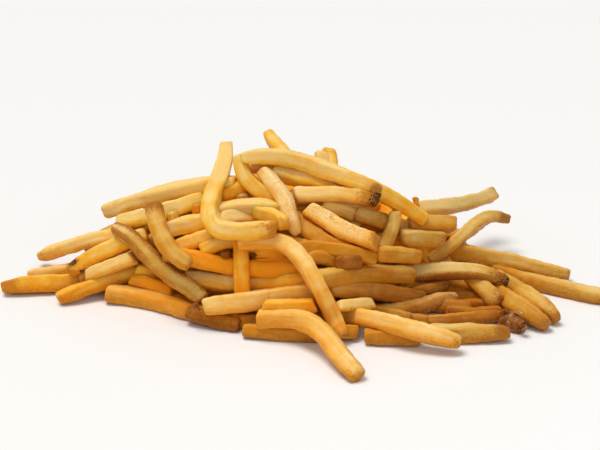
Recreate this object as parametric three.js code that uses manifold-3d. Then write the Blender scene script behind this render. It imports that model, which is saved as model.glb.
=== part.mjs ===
// A loose heap of thin-cut french fries, as it lies on a table.
// The heap is one solid: a low mound, with the fries that show fused on at their true size.
// Millimetres, +Z up. The origin is on the table under the middle of the heap, and the heap's
// front faces -Y.
import * as THREE from "three";
import { mergeVertices } from "three/addons/utils/BufferGeometryUtils.js";
import Module from "manifold-3d";

// The mound that the fries lie on: half of an ellipsoid.
const CORE_HALF_WIDTH = 62;
const CORE_HALF_DEPTH = 35;
const CORE_HEIGHT = 39;
const CORE_MIDDLE = [-4, 13, 0];
const CORE_SIDES = 18;
const CORE_RINGS = 5;

// The front viewpoint. A fry that shows from the front is told by the line that it follows as
// seen from there: how far across and up, in millimetres at the distance of the heap's middle.
const VIEW_DISTANCE = 650;
const VIEW_ELEVATION = THREE.MathUtils.degToRad(20);
const VIEW_AIM = new THREE.Vector3(0, 0, 27);
const AIM_UP = 8.2; // the height that the aim has in the list below

// How fries lie.
const STRETCH = 8; // length of one stretch of a fry as it is laid
const LONGEST_BLOCK = 34; // length of the longest straight stretch of its solid
const SHARPEST_TURN = 0.4; // radians that it turns in one such stretch
const END_WIDTH = 0.85; // how wide a fry's ends are beside its middle
const PRESS = 1.7; // how far soft fries press into each other
const TABLE_PRESS = 0.3; // and how far they are pressed flat on the table
const LIMP = 0.01; // how much a fry bends down past what it rests on
const STEEPEST = 0.8; // the most that a fry leans away along the line of sight
const OUTSIDE = 160; // where a fry starts when it is brought in from outside
const BEYOND = -150; // where it stops when nothing is in its way
const NEAR = 0.01; // lengths closer than this count as the same
const HELD = 0.05; // a fry this near to what is under it rests there
const ROLL = 18; // degrees that a fry is turned about its length at most
const SLANT = 0.25; // how slanting its ends are cut at most

// The fries under and behind those that show from the front.
const LOWER_FRIES = 90; // tried; those that would stick out of the outline are left out
const BACK_FRIES = 260;
const GOLDEN_SHARE = 0.618034; // spreads the bearings evenly
const FIRST_SEED = 4711;
const SHORTEST = 44; // their lengths
const LONGEST = 74;
const THINNEST = 6.2; // their thicknesses
const THICKEST = 7.4;
const HEADING = 0.9; // radians that they lie off level at most
const BOW = 5; // how far their middle is bent aside at most

// The outline that they stay inside, as seen from the front, and how far out from the mound they go.
const OUTLINE_TOP = [
  [-110, -13], [-80, 9], [-60, 17], [-40, 23], [-25, 33], [5, 33],
  [20, 26], [40, 16], [60, 6], [70, -2], [110, -14],
];
const OUTLINE_BOTTOM = [
  [-110, -18], [-60, -21], [-40, -28], [-20, -33], [15, -35], [60, -36], [90, -31], [110, -25],
];
const FRONT_REACH = 16;
const BACK_REACH = 28;
const TABLE_CUT = 500; // the block that cuts the heap off level with the table

// The fries that show from the front, from the back of the heap to its front:
// what it is, thickness, then places along it, each [across, up].
const SHOWN = [
  ["tall stub at the top", 6.4, [-13.6, 46.2], [-9.8, 41], [-5, 35], [-1, 30]],
  ["ragged stub behind the top", 7.6, [11.8, 38.6], [12, 30], [12, 20]],
  ["raised at the right", 6.6, [41, 13.5], [53, 14.8], [62, 16], [71, 17.9], [79.6, 21]],
  ["block behind", 7, [44, 9], [55, 8.6], [63.8, 8.2]],
  ["far right", 6.5, [72, -8], [88, -13.2], [98, -15.8], [108, -17.8], [119, -20.4], [131, -22.3]],
  ["long right", 7, [60, -1.5], [72, -4], [82, -6.2], [92, -8.2], [102, -10.8], [110.8, -12.8]],
  [
    "raised and bent", 5.8,
    [52, -7], [60, -1.6], [66.5, 3.6], [72, 8.4], [76.5, 11.2], [80.5, 11.7], [85.5, 10.4],
  ],
  ["long upper left", 7, [-79.8, 13.8], [-70, 16.9], [-60, 20], [-48, 23], [-36, 24.8], [-26, 25]],
  ["under the long upper left", 7, [-75, 8.5], [-62, 11.5], [-49, 15.5], [-38, 19]],
  ["pointed left", 6.3, [-107, -4.6], [-100, -2.4], [-90, 0.8], [-80, 3.2], [-68, 4.2]],
  ["behind the far left", 6, [-112, -13], [-100, -11.4], [-88, -9], [-76, -6]],
  ["far left", 7.6, [-123, -17.6], [-112, -16.4], [-100, -16], [-88, -14.8], [-76, -12.5]],
  ["between the left ones", 6, [-91, -13.8], [-80, -9.7], [-70, -6], [-60, -3]],
  ["spotted left", 7.4, [-95, -11.8], [-87.5, -6.6], [-80, -2.8], [-72, 0.8], [-62, 4]],
  ["lower left", 7, [-99.8, -22.2], [-90, -18.7], [-80, -15.2], [-70, -12], [-60, -9.5]],
  ["hidden left", 7, [-68, -10.5], [-56, -13]],
  ["pale bottom left", 7.2, [-79.8, -19.5], [-70, -20.8], [-60, -22.6], [-50, -25.5], [-41, -28.5]],
  ["deep bottom left", 6, [-47, -27.5], [-36, -30.7], [-24, -33]],
  ["end facing out", 5.5, [-52.5, 14.5], [-50.5, 6]],
  ["small end facing out", 5, [-42.5, 17.5], [-41.5, 10]],
  ["left middle, upper", 7, [-56, 5.5], [-48, 8], [-38, 9.5], [-30, 10]],
  ["left middle, lower", 6.5, [-51, -1.5], [-44, 1.3], [-36, 3.3], [-28, 4]],
  ["left middle, short", 6.5, [-41, -3], [-33, 0.3], [-24, 1.8]],
  ["golden behind the upright", 6, [-28, -2.5], [-16, -3], [-6, -5.5], [2, -8.5]],
  ["deep orange across", 7.4, [-55, -2.5], [-42, -6], [-30, -8.4], [-18, -9.3], [-6, -9.6], [4, -9]],
  ["pale across", 7, [-47, -13.5], [-32, -15.8], [-16, -15.6], [-2, -14.8], [9, -13.5]],
  ["short upright", 6.4, [-24, 2.5], [-24, -9], [-23.6, -21]],
  ["brown-ended slope", 7, [-60, 17.3], [-58.6, 9.5], [-56, 2.5], [-51.5, -4], [-45, -8.5]],
  [
    "skin-on slope", 7.2,
    [-77, 7.5], [-70.5, 3.8], [-64, -2.5], [-58, -8.5], [-51.5, -13.5], [-45, -18], [-39.5, -23],
  ],
  ["long pale across", 7.8, [-40, -25.6], [-30, -24.3], [-18, -22.7], [-6, -20.8], [5, -19.2], [13, -18]],
  ["short slope in the middle", 6, [16, 17], [20.5, 12.5], [25, 8]],
  ["brown stub in the middle", 7, [22, 13], [30, 11], [36, 9]],
  ["greyish upright", 6, [39, 14.2], [38.2, 8], [35.5, 1.5], [32.5, -6]],
  ["pinkish slope", 7.2, [-3, 12], [3, 6], [11, 0.8], [20, -3.5], [26, -6]],
  ["deep middle, upper", 6, [-2, -1.8], [10, -1.5], [22, -3.5], [32, -6]],
  ["deep middle, curved", 6, [0, -7.5], [8, -5], [17, -7.5]],
  ["deep middle, lower", 6, [14, -7.5], [26, -7]],
  ["brown right of the middle", 6.5, [31, -3.5], [40, -3.8], [49, -5]],
  ["curved at the top", 6.5, [-24.8, 37.5], [-23.8, 31], [-20.5, 25.5], [-15, 21.7], [-8, 19]],
  ["bright short across", 6.8, [-34, 14], [-24, 15.3], [-14, 15.2], [-4, 13.5]],
  ["under the crest, left", 5.5, [-13, 31.5], [-5, 29.6], [2.8, 29]],
  ["under the crest, right", 5.5, [2, 30], [10, 27.2], [22, 25.2]],
  [
    "crest", 7,
    [-24.5, 35.6], [-14, 36.4], [-4, 35.4], [6, 32.3], [16, 28.9], [26, 24.7], [35, 20.3],
    [44, 15.2], [52, 9.6],
  ],
  ["dark-ended across", 7, [-3, 20.4], [7, 20.5], [16, 20.8], [25, 19.8], [33, 18.4]],
  ["sugary slope", 6.6, [-16, 31], [-12.5, 27], [-8, 21.7], [-5.3, 16], [-3.6, 10], [-0.8, 3.8]],
  ["broad slope", 7.5, [2.5, 15], [10, 10.3], [18, 5.8], [26, 2.6], [32, 0.9]],
  ["block", 7.4, [41.5, 3], [50, 2.9], [59, 2.6]],
  ["fan, outer", 7, [80, -13], [90, -18.8], [98, -24], [106, -31]],
  ["fan, inner", 7.6, [76, -17], [86, -23], [94, -28.2], [102, -33.3]],
  ["blunt, facing out", 7.6, [69, -12.5], [75.5, -18], [82.3, -24.2]],
  ["crisp-tipped", 6.6, [44, -12], [55, -10.9], [66, -10.7], [74, -11.3], [80, -13.3], [85.5, -16]],
  ["shaded stub", 5.5, [42, -20.5], [52, -18.5], [60.5, -17]],
  ["shaded across", 6.8, [11, -18], [25, -18.6], [38, -20.2], [51, -21.8]],
  ["roasted", 6.6, [29, -28.5], [40, -27], [50, -24.8], [58, -22.4], [64.5, -21.4]],
  ["yellow stub", 5.2, [14, -25], [22, -24.6], [31, -24.1]],
  ["long across, right", 6.8, [6, -14.2], [18, -12.8], [30, -11.9], [47, -12.3]],
  ["brown-ended, thin", 4.6, [38, -29.5], [48, -30.6], [58.3, -31.6]],
  ["thin across, right", 5.5, [52, -31.2], [64, -30.6], [74, -29.8], [85, -28.5]],
  ["burnt crumb", 7, [83, -29.5], [88, -32], [92, -33]],
  ["bottom, left", 6, [-24, -35], [-10, -36], [2, -36.4], [12, -36.6]],
  ["bottom, middle", 6, [10, -35.5], [24, -35.8]],
  ["bottom, cut end", 7.4, [52, -36], [64, -36.3], [75, -36], [86.5, -36]],
  ["bottom, right", 6.4, [25.8, -37.3], [36, -37.8], [50, -38.3]],
  ["long lower right", 7.6, [15, -28.3], [25, -29.7], [35, -31.8], [45, -34.6], [56, -37.4], [66.5, -40]],
  [
    "long slope", 6.8,
    [-26, 0.5], [-16, 1.2], [-8, 0.8], [-2.5, -2.5], [2, -8], [6.5, -15.5], [10.5, -23],
    [14.2, -30.5], [17.6, -37.5],
  ],
  [
    "hooked", 6.6,
    [-30.3, 41.6], [-31, 34], [-33.5, 26.5], [-36, 19], [-36.4, 12], [-33.2, 7], [-26, 5.6],
    [-18, 6], [-9, 6.5],
  ],
  [
    "reaching forward", 7,
    [-18, -30.5], [-8, -30], [0, -30.7], [6, -33.5], [11, -38], [15.5, -44], [20, -49.5], [24, -54],
  ],
];

// Repeatable random numbers, from 0 to 1.
let seed = FIRST_SEED;
function random() {
  seed = (seed * 16807) % 2147483647;
  return seed / 2147483647;
}
const between = (low, high) => low + (high - low) * random();

// The directions of the front view.
const across = new THREE.Vector3(1, 0, 0);
const upward = new THREE.Vector3(0, Math.sin(VIEW_ELEVATION), Math.cos(VIEW_ELEVATION));
const toward = new THREE.Vector3(0, -Math.cos(VIEW_ELEVATION), Math.sin(VIEW_ELEVATION));

// The line of sight through a place in the front view: a point, and the way toward the viewer.
function sightLine(x, z) {
  const sideways = across.clone().multiplyScalar(x).addScaledVector(upward, z - AIM_UP);
  return {
    base: VIEW_AIM.clone().add(sideways),
    along: toward.clone().addScaledVector(sideways, -1 / VIEW_DISTANCE),
  };
}

// Where a point shows in the front view.
function seenAt(point) {
  const offset = point.clone().sub(VIEW_AIM);
  const nearness = 1 - offset.dot(toward) / VIEW_DISTANCE;
  return [offset.dot(across) / nearness, offset.dot(upward) / nearness + AIM_UP];
}

// The fries laid so far, as straight stretches: two ends and a radius each.
const stretches = [];
const coreSize = new THREE.Vector3(CORE_HALF_WIDTH, CORE_HALF_DEPTH, CORE_HEIGHT);
const coreCentre = new THREE.Vector3(...CORE_MIDDLE);

function coreDistance(point) {
  const scaled = point.clone().sub(coreCentre).divide(coreSize);
  const size = scaled.length();
  return (size * (size - 1)) / scaled.divide(coreSize).length();
}

function stretchDistance(point, { start, span, lengthSquared, radius }) {
  const x = point.x - start.x;
  const y = point.y - start.y;
  const z = point.z - start.z;
  const share = Math.min(1, Math.max(0, (x * span.x + y * span.y + z * span.z) / lengthSquared));
  return Math.hypot(x - share * span.x, y - share * span.y, z - share * span.z) - radius;
}

// How far a point is from the table, the mound and every fry laid so far.
function clearance(point) {
  let nearest = Math.min(point.z - (PRESS - TABLE_PRESS), coreDistance(point));
  for (const stretch of stretches) nearest = Math.min(nearest, stretchDistance(point, stretch));
  return nearest;
}

// How far out along its line a ball comes to rest when it is brought in from outside.
function contact({ base, along }, radius) {
  let depth = OUTSIDE;
  while (depth > BEYOND) {
    const gap = clearance(base.clone().addScaledVector(along, depth)) - radius;
    if (gap < NEAR) break;
    depth -= gap;
  }
  return depth;
}

// Lays a fry: each place along it comes in along its own line until the fry, which is stiff but
// bends a little under its weight, rests on the heap. Returns the places of its middle line.
function lay(lines, thickness) {
  const radius = thickness / 2;
  const touch = lines.map((line) => contact(line, radius - PRESS));
  const flat = lines.map(({ base }) => base);
  const station = [0];
  for (let i = 1; i < flat.length; i++) station.push(station[i - 1] + flat[i].distanceTo(flat[i - 1]));
  const middle = station[station.length - 1] / 2;

  // The line of a stiff rod that rests on both sides of its middle.
  let highest = -Infinity;
  let slope = 0;
  for (let i = 0; i < touch.length && station[i] <= middle + NEAR; i++)
    for (let j = touch.length - 1; j > i && station[j] >= middle - NEAR; j--) {
      const tilt = (touch[j] - touch[i]) / (station[j] - station[i]);
      const height = touch[i] + tilt * (middle - station[i]);
      if (height > highest + NEAR / 10) {
        highest = height;
        slope = tilt;
      }
    }
  slope = Math.max(-STEEPEST, Math.min(STEEPEST, slope));
  const lift = Math.max(...touch.map((depth, i) => depth - slope * station[i]));
  const rod = station.map((s) => lift + slope * s);
  const held = station.filter((s, i) => rod[i] - touch[i] < HELD);
  const first = held[0];
  const last = held[held.length - 1];
  let depths = rod.map((depth, i) =>
    Math.max(touch[i], depth - LIMP * Math.abs((station[i] - first) * (station[i] - last))),
  );
  depths = depths.map((depth, i) => {
    const before = depths[Math.max(0, i - 1)];
    const after = depths[Math.min(depths.length - 1, i + 1)];
    return (before + 2 * depth + after) / 4;
  });
  return lines.map(({ base, along }, i) => base.clone().addScaledVector(along, depths[i]));
}

// A curve through places in a plane, cut into stretches of even count.
function smooth(places) {
  const curve = new THREE.CatmullRomCurve3(
    places.map(([x, z]) => new THREE.Vector3(x, 0, z)),
    false,
    "catmullrom",
  );
  return curve.getPoints(Math.max(2, Math.round(curve.getLength() / STRETCH)));
}

function remember(places, thickness) {
  for (let i = 1; i < places.length; i++) {
    const span = places[i].clone().sub(places[i - 1]);
    stretches.push({ start: places[i - 1], span, lengthSquared: span.lengthSq(), radius: thickness / 2 });
  }
}

// A fry that shows from the front.
function shownFry([, thickness, ...places]) {
  const lines = smooth(places).map((place) => sightLine(place.x, place.z));
  const middle = lay(lines, thickness);
  remember(middle, thickness);
  return { middle, thickness, out: toward, roll: between(-ROLL, ROLL), slant: between(-SLANT, SLANT) };
}

// The height of a line of straight stretches at a place across.
function heightAt(line, x) {
  const next = Math.max(1, line.findIndex(([placed]) => placed >= x));
  const [[x0, z0], [x1, z1]] = line.slice(next - 1, next + 1);
  return z0 + ((z1 - z0) * (x - x0)) / (x1 - x0);
}

function inOutline(point) {
  const [x, z] = seenAt(point);
  if (z > heightAt(OUTLINE_TOP, x) || z < heightAt(OUTLINE_BOTTOM, x)) return false;
  return coreDistance(point) < (point.y > CORE_MIDDLE[1] ? BACK_REACH : FRONT_REACH);
}

// A fry laid on the mound at a bearing and a share of its height, in a heading of its own.
function moundFry(bearing, rise) {
  const level = Math.sqrt(1 - rise * rise);
  const ball = new THREE.Vector3(level * Math.cos(bearing), level * Math.sin(bearing), rise);
  const out = ball.clone().divide(coreSize).normalize();
  const centre = coreCentre.clone().add(ball.multiply(coreSize));
  const flat = new THREE.Vector3(0, 0, 1).cross(out).normalize();
  const slope = out.clone().cross(flat);
  const heading = between(-HEADING, HEADING);
  const run = flat.clone().multiplyScalar(Math.cos(heading)).addScaledVector(slope, Math.sin(heading));
  const aside = out.clone().cross(run);
  const length = between(SHORTEST, LONGEST);
  const bow = between(-BOW, BOW);
  const thickness = between(THINNEST, THICKEST);
  const roll = between(-ROLL, ROLL);
  const slant = between(-SLANT, SLANT);
  const count = Math.round(length / STRETCH);
  const lines = [];
  for (let i = 0; i <= count; i++) {
    const share = (2 * i) / count - 1;
    const base = centre
      .clone()
      .addScaledVector(run, (share * length) / 2)
      .addScaledVector(aside, bow * (1 - share * share));
    lines.push({ base, along: out });
  }
  return { middle: lay(lines, thickness), thickness, out, roll, slant };
}

// Fries over the mound between two bearings, from its foot upward, spread evenly.
function moundFries(count, from, to) {
  const made = [];
  for (let i = 0; i < count; i++) {
    const bearing = from + (to - from) * ((i * GOLDEN_SHARE) % 1);
    const fry = moundFry(bearing, (i + 0.5) / count);
    if (!fry.middle.every(inOutline)) continue;
    remember(fry.middle, fry.thickness);
    made.push(fry);
  }
  return made;
}

// The block of one fry: a box bent along its middle line, its ends a little narrower.
function fryGeometry({ middle, thickness, out, roll, slant }) {
  const curve = new THREE.CatmullRomCurve3(middle, false, "catmullrom");
  const ways = middle.slice(1).map((place, i) => place.clone().sub(middle[i]));
  const turn = ways.slice(1).reduce((sum, way, i) => sum + way.angleTo(ways[i]), 0);
  const last = Math.ceil(Math.max(curve.getLength() / LONGEST_BLOCK, turn / SHARPEST_TURN));
  const box = new THREE.BoxGeometry(thickness, thickness, 1, 1, 1, last);
  const corners = box.attributes.position;
  const corner = new THREE.Vector3();
  for (let i = 0; i < corners.count; i++) {
    corner.fromBufferAttribute(corners, i);
    const share = Math.round((corner.z + 0.5) * last) / last;
    const along = curve.getTangent(share);
    const level = out.clone().cross(along).normalize();
    const aside = level.applyAxisAngle(along, THREE.MathUtils.degToRad(roll));
    const face = along.clone().cross(aside);
    const end = share === 0 || share === 1;
    const width = end ? END_WIDTH : 1;
    const place = curve
      .getPoint(share)
      .addScaledVector(aside, corner.x * width)
      .addScaledVector(face, corner.y * width)
      .addScaledVector(along, end ? slant * corner.x : 0);
    corners.setXYZ(i, place.x, place.y, place.z);
  }
  return box;
}

// Half of a ball, closed underneath, drawn out to the mound's size.
function coreGeometry() {
  const profile = [new THREE.Vector2(0, 0)];
  for (let i = 0; i <= CORE_RINGS; i++) {
    const angle = (Math.PI / 2) * (i / CORE_RINGS);
    profile.push(new THREE.Vector2(i === CORE_RINGS ? 0 : Math.cos(angle), Math.sin(angle)));
  }
  return new THREE.LatheGeometry(profile, CORE_SIDES)
    .rotateX(Math.PI / 2)
    .scale(CORE_HALF_WIDTH, CORE_HALF_DEPTH, CORE_HEIGHT)
    .translate(...CORE_MIDDLE);
}

const wasm = await Module();
wasm.setup();

// The triangles of a geometry with its shared corners merged and the empty ones left out.
function triangles(geometry, tolerance) {
  geometry.deleteAttribute("normal");
  geometry.deleteAttribute("uv");
  const merged = mergeVertices(geometry, tolerance);
  const index = merged.index.array;
  const kept = [];
  for (let i = 0; i < index.length; i += 3) {
    const [a, b, c] = index.slice(i, i + 3);
    if (a !== b && b !== c && c !== a) kept.push(a, b, c);
  }
  return { positions: merged.attributes.position.array, kept };
}

function solid(geometry) {
  const { positions, kept } = triangles(geometry, 1e-4);
  return new wasm.Manifold(
    new wasm.Mesh({ numProp: 3, vertProperties: positions, triVerts: new Uint32Array(kept) }),
  );
}

// The largest closed surface alone: loose scraps go, and hollows that joining has sealed are filled.
function largestSurface(whole) {
  const mesh = whole.getMesh();
  const geometry = new THREE.BufferGeometry();
  geometry.setAttribute("position", new THREE.BufferAttribute(mesh.vertProperties, 3));
  geometry.setIndex(new THREE.BufferAttribute(mesh.triVerts, 1));
  const { positions, kept } = triangles(geometry, 1e-3);

  const leader = Array.from({ length: positions.length / 3 }, (_, i) => i);
  const find = (i) => {
    while (leader[i] !== i) i = leader[i] = leader[leader[i]];
    return i;
  };
  for (let i = 0; i < kept.length; i += 3) {
    leader[find(kept[i])] = find(kept[i + 1]);
    leader[find(kept[i + 1])] = find(kept[i + 2]);
  }
  const surfaces = new Map();
  for (let i = 0; i < kept.length; i += 3) {
    const key = find(kept[i]);
    if (!surfaces.has(key)) surfaces.set(key, []);
    surfaces.get(key).push(kept[i], kept[i + 1], kept[i + 2]);
  }
  const largest = [...surfaces.values()].reduce((a, b) => (a.length > b.length ? a : b));
  const result = new THREE.BufferGeometry();
  result.setAttribute("position", new THREE.BufferAttribute(positions, 3));
  result.setIndex(largest);
  return result;
}

const lowerFries = moundFries(LOWER_FRIES, 0, 2 * Math.PI);
const backFries = moundFries(BACK_FRIES, -0.1 * Math.PI, 1.1 * Math.PI);
const shownFries = SHOWN.map(shownFry);

// At the front the lower fries are out of sight behind the others, so the solid goes without them.
const hidden = ({ middle }) => middle.every((place) => place.y < CORE_MIDDLE[1]);
const fries = [...lowerFries.filter((fry) => !hidden(fry)), ...backFries, ...shownFries];

// The mound and the fries joined, and cut off level with the table.
let whole = solid(coreGeometry());
for (const fry of fries) whole = whole.add(solid(fryGeometry(fry)));
const underTable = new THREE.BoxGeometry(TABLE_CUT, TABLE_CUT, TABLE_CUT).translate(0, 0, -TABLE_CUT / 2);
whole = whole.subtract(solid(underTable));

const heap = new THREE.Mesh(
  largestSurface(whole),
  new THREE.MeshStandardMaterial({ color: 0xe0a045, roughness: 0.55, metalness: 0 }),
);
heap.name = "fries_heap";

const group = new THREE.Group();
group.name = "french_fries";
group.add(heap);

export default group;
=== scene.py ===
# %% [markdown]
# # A heap of thin-cut french fries
# A portion of fries is a heap of potato sticks, each about 7 mm square and 4 to 9 cm long, fried until
# the outside is golden and the ends and edges are brown. They are soft, so they bend a little over
# each other and press each other slightly flat where they cross. This lesson lays every fry by one
# rule of rest, gives each its own uneven shape, and colours it by how strongly each place was fried.

# %% Load the measured model
import math

import bpy
import numpy as np
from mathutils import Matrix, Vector


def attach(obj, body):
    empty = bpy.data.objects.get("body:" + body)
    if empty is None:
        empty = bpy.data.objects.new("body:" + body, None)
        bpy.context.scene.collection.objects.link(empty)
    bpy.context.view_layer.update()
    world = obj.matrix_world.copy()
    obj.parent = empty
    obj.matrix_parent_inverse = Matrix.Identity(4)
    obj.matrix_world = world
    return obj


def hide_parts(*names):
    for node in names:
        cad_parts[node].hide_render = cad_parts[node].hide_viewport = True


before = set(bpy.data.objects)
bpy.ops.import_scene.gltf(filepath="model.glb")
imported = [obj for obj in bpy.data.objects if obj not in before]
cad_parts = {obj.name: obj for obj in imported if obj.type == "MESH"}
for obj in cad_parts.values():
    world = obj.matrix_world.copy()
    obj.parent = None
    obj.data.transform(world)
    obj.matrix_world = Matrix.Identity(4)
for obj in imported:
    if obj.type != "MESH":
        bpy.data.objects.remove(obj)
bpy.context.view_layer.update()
MM = 0.001

# %% [markdown]
# ## The front viewpoint
# The heap is seen from a seat at the table, 20 degrees above its level. Everything that shows from the
# front is laid out as seen from there, so the viewpoint comes first. Its lens takes in 246 mm at the
# distance of the heap's middle.

# %% Name the front viewpoint
VIEW_DISTANCE = 650.0  # millimetres, as all lengths in the laying of the fries
VIEW_ELEVATION = math.radians(20)
VIEW_AIM = np.array([0.0, 0.0, 27.0])
VIEW_WIDTH = 246.0
AIM_UP = 8.2  # the height that the aim has in the list of fries below
ACROSS = np.array([1.0, 0.0, 0.0])
UPWARD = np.array([0.0, math.sin(VIEW_ELEVATION), math.cos(VIEW_ELEVATION)])
TOWARD = np.array([0.0, -math.cos(VIEW_ELEVATION), math.sin(VIEW_ELEVATION)])
print("the viewpoint is at", np.round(VIEW_AIM + VIEW_DISTANCE * TOWARD), "mm")

# %% Set the camera there
camera_data = bpy.data.cameras.new("front_view")
camera_data.sensor_width = 36
camera_data.lens = camera_data.sensor_width * VIEW_DISTANCE / VIEW_WIDTH
camera = bpy.data.objects.new("front_view", camera_data)
camera.location = Vector((VIEW_AIM + VIEW_DISTANCE * TOWARD) * MM)
camera.rotation_euler = Vector(-TOWARD).to_track_quat("-Z", "Y").to_euler()
bpy.context.scene.collection.objects.link(camera)
bpy.context.scene.camera = camera
print("lens", round(camera_data.lens, 1), "mm")

# %% [markdown]
# ## Light and table
# Food is photographed in broad soft light, so that the oil on it shines gently and the gaps stay warm.
# One large lamp hangs over the heap, a weaker one fills its front, and a pale world gives the rest.

# %% Pale surroundings
world = bpy.data.worlds.new("pale_room")
world.use_nodes = True
room_light = world.node_tree.nodes["Background"]
room_light.inputs["Color"].default_value = (1.0, 0.985, 0.96, 1)
room_light.inputs["Strength"].default_value = 0.46
bpy.context.scene.world = world
bpy.context.scene.view_settings.view_transform = "Standard"
print("room light", room_light.inputs["Strength"].default_value)


# %% Soft lamps
def soft_lamp(name, place, size, power, colour):
    """A square lamp at a place in metres, turned towards the heap, or far light if it has no size."""
    data = bpy.data.lights.new(name, "AREA" if size else "SUN")
    if size:
        data.size = size
    else:
        data.angle = math.radians(FAR_LIGHT_SPREAD)
    data.energy = power
    data.color = colour
    lamp = bpy.data.objects.new(name, data)
    lamp.location = place
    lamp.rotation_euler = (-Vector(place)).to_track_quat("-Z", "Y").to_euler()
    bpy.context.scene.collection.objects.link(lamp)
    return lamp


FAR_LIGHT_SPREAD = 32  # degrees across, so that its shadows are soft
soft_lamp("lamp_above", (-0.2, 0.02, 0.75), 0, 2.05, (1.0, 0.98, 0.95))
soft_lamp("lamp_front", (0.1, -0.9, 0.5), 0.6, 1.3, (1.0, 0.97, 0.93))

# %% The table
bpy.ops.mesh.primitive_plane_add(size=12, location=(0, 0, 0))
table_top = bpy.context.object
table_top.name = "table_top"
table_paint = bpy.data.materials.new("pale_table")
table_paint.use_nodes = True
table_shader = table_paint.node_tree.nodes["Principled BSDF"]
table_shader.inputs["Base Color"].default_value = (0.86, 0.86, 0.86, 1)
table_shader.inputs["Roughness"].default_value = 0.8
table_top.data.materials.append(table_paint)
print("table", table_top.name)

# %% [markdown]
# ## How fries come to lie as they do
# A physics engine could drop the fries, but then they would lie anywhere. Here each fry is brought in
# along lines that the list gives, from outside, until it rests on what lies there already: the table,
# the mound of fries inside the heap and each fry laid before. A fry is a stiff rod that sags a little
# past its supports. The same rule lays the fries that show from the front, on their lines of sight,
# and those around the back.

# %% Sizes that the laying of the fries uses
CORE_HALF = np.array([62.0, 35.0, 39.0])  # the mound: half of an ellipsoid
CORE_MIDDLE = np.array([-4.0, 13.0, 0.0])
STRETCH = 8.0  # length of one stretch of a fry as it is laid
PRESS = 1.7  # how far soft fries press into each other
TABLE_PRESS = 0.3  # and how far they are pressed flat on the table
LIMP = 0.01  # how much a fry bends down past what it rests on
STEEPEST = 0.8  # the most that a fry leans away along the line of sight
NEAR = 0.01  # lengths closer than this count as the same
HELD = 0.05  # how close to the rod's line a place has to come to hold it up
OUTSIDE = 160.0  # where a fry starts when it is brought in from outside
BEYOND = -150.0  # where it stops when nothing is in its way
FIRST_SEED = 4711
print("mound", 2 * CORE_HALF[0], "by", 2 * CORE_HALF[1], "mm and", CORE_HALF[2], "mm high")

# %% Repeatable random numbers
draw_state = FIRST_SEED


def draw():
    """The next of a fixed row of random numbers from 0 to 1."""
    global draw_state
    draw_state = (draw_state * 16807) % 2147483647
    return draw_state / 2147483647


def between(low, high):
    return low + (high - low) * draw()


print("first seed", FIRST_SEED)


# %% A smooth line through places
def curve_points(knots, shares):
    """Points of a Catmull-Rom curve through the knots, at shares of its length from 0 to 1."""
    knots = np.asarray(knots, float)
    ends = np.vstack([2 * knots[0] - knots[1], knots, 2 * knots[-1] - knots[-2]])
    place = np.asarray(shares, float) * (len(knots) - 1)
    first = np.minimum(np.floor(place).astype(int), len(knots) - 2)
    t = (place - first)[:, None]
    p0, p1, p2, p3 = (ends[first + i] for i in range(4))
    out, back = 0.5 * (p2 - p0), 0.5 * (p3 - p1)
    square = -3 * p1 + 3 * p2 - 2 * out - back
    cube = 2 * p1 - 2 * p2 + out + back
    return p1 + out * t + square * t**2 + cube * t**3


def curve_length(knots, divisions=200):
    steps = np.diff(curve_points(knots, np.arange(divisions + 1) / divisions), axis=0)
    return float(np.sum(np.linalg.norm(steps, axis=1)))


def rounded(value):
    return int(math.floor(value + 0.5))


print("a 30 mm line measures", curve_length([(0, 0, 0), (15, 0, 0), (30, 0, 0)]))


# %% Lines of sight
def sight_lines(places):
    """For places seen from the front: points level with the aim, and the way toward the viewer."""
    aside = places[:, :1] * ACROSS + (places[:, 1:2] - AIM_UP) * UPWARD
    return VIEW_AIM + aside, TOWARD - aside / VIEW_DISTANCE


def seen_at(points):
    """Where points show from the front: how far across and up."""
    offset = points - VIEW_AIM
    nearness = 1 - offset @ TOWARD / VIEW_DISTANCE
    return offset @ ACROSS / nearness, offset @ UPWARD / nearness + AIM_UP


print("the aim shows at", [float(n) for n in seen_at(VIEW_AIM)])

# %% What lies there already
laid = {"start": np.zeros((0, 3)), "span": np.zeros((0, 3)), "radius": np.zeros(0)}


def remember(middle, thickness):
    """Adds a fry's straight stretches to what the next ones rest on."""
    laid["start"] = np.vstack([laid["start"], middle[:-1]])
    laid["span"] = np.vstack([laid["span"], np.diff(middle, axis=0)])
    laid["radius"] = np.append(laid["radius"], np.full(len(middle) - 1, thickness / 2))


def core_distance(points):
    scaled = (points - CORE_MIDDLE) / CORE_HALF
    size = np.linalg.norm(scaled, axis=-1)
    return size * (size - 1) / np.linalg.norm(scaled / CORE_HALF, axis=-1)


def to_stretches(points):
    """The way from each point to the nearest place of each stretch laid so far."""
    offset = points[:, None] - laid["start"]
    length_squared = np.sum(laid["span"] ** 2, axis=1)
    share = np.clip(np.sum(offset * laid["span"], axis=2) / length_squared, 0, 1)
    return share[:, :, None] * laid["span"] - offset


def clearance(points):
    """How far points are from the table, the mound and every fry laid so far."""
    nearest = np.minimum(points[:, 2] - (PRESS - TABLE_PRESS), core_distance(points))
    if len(laid["radius"]):
        gap = np.linalg.norm(to_stretches(points), axis=2) - laid["radius"]
        nearest = np.minimum(nearest, gap.min(axis=1))
    return nearest


print("20 mm above the mound:", core_distance(CORE_MIDDLE + [0, 0, CORE_HALF[2] + 20]))


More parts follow.
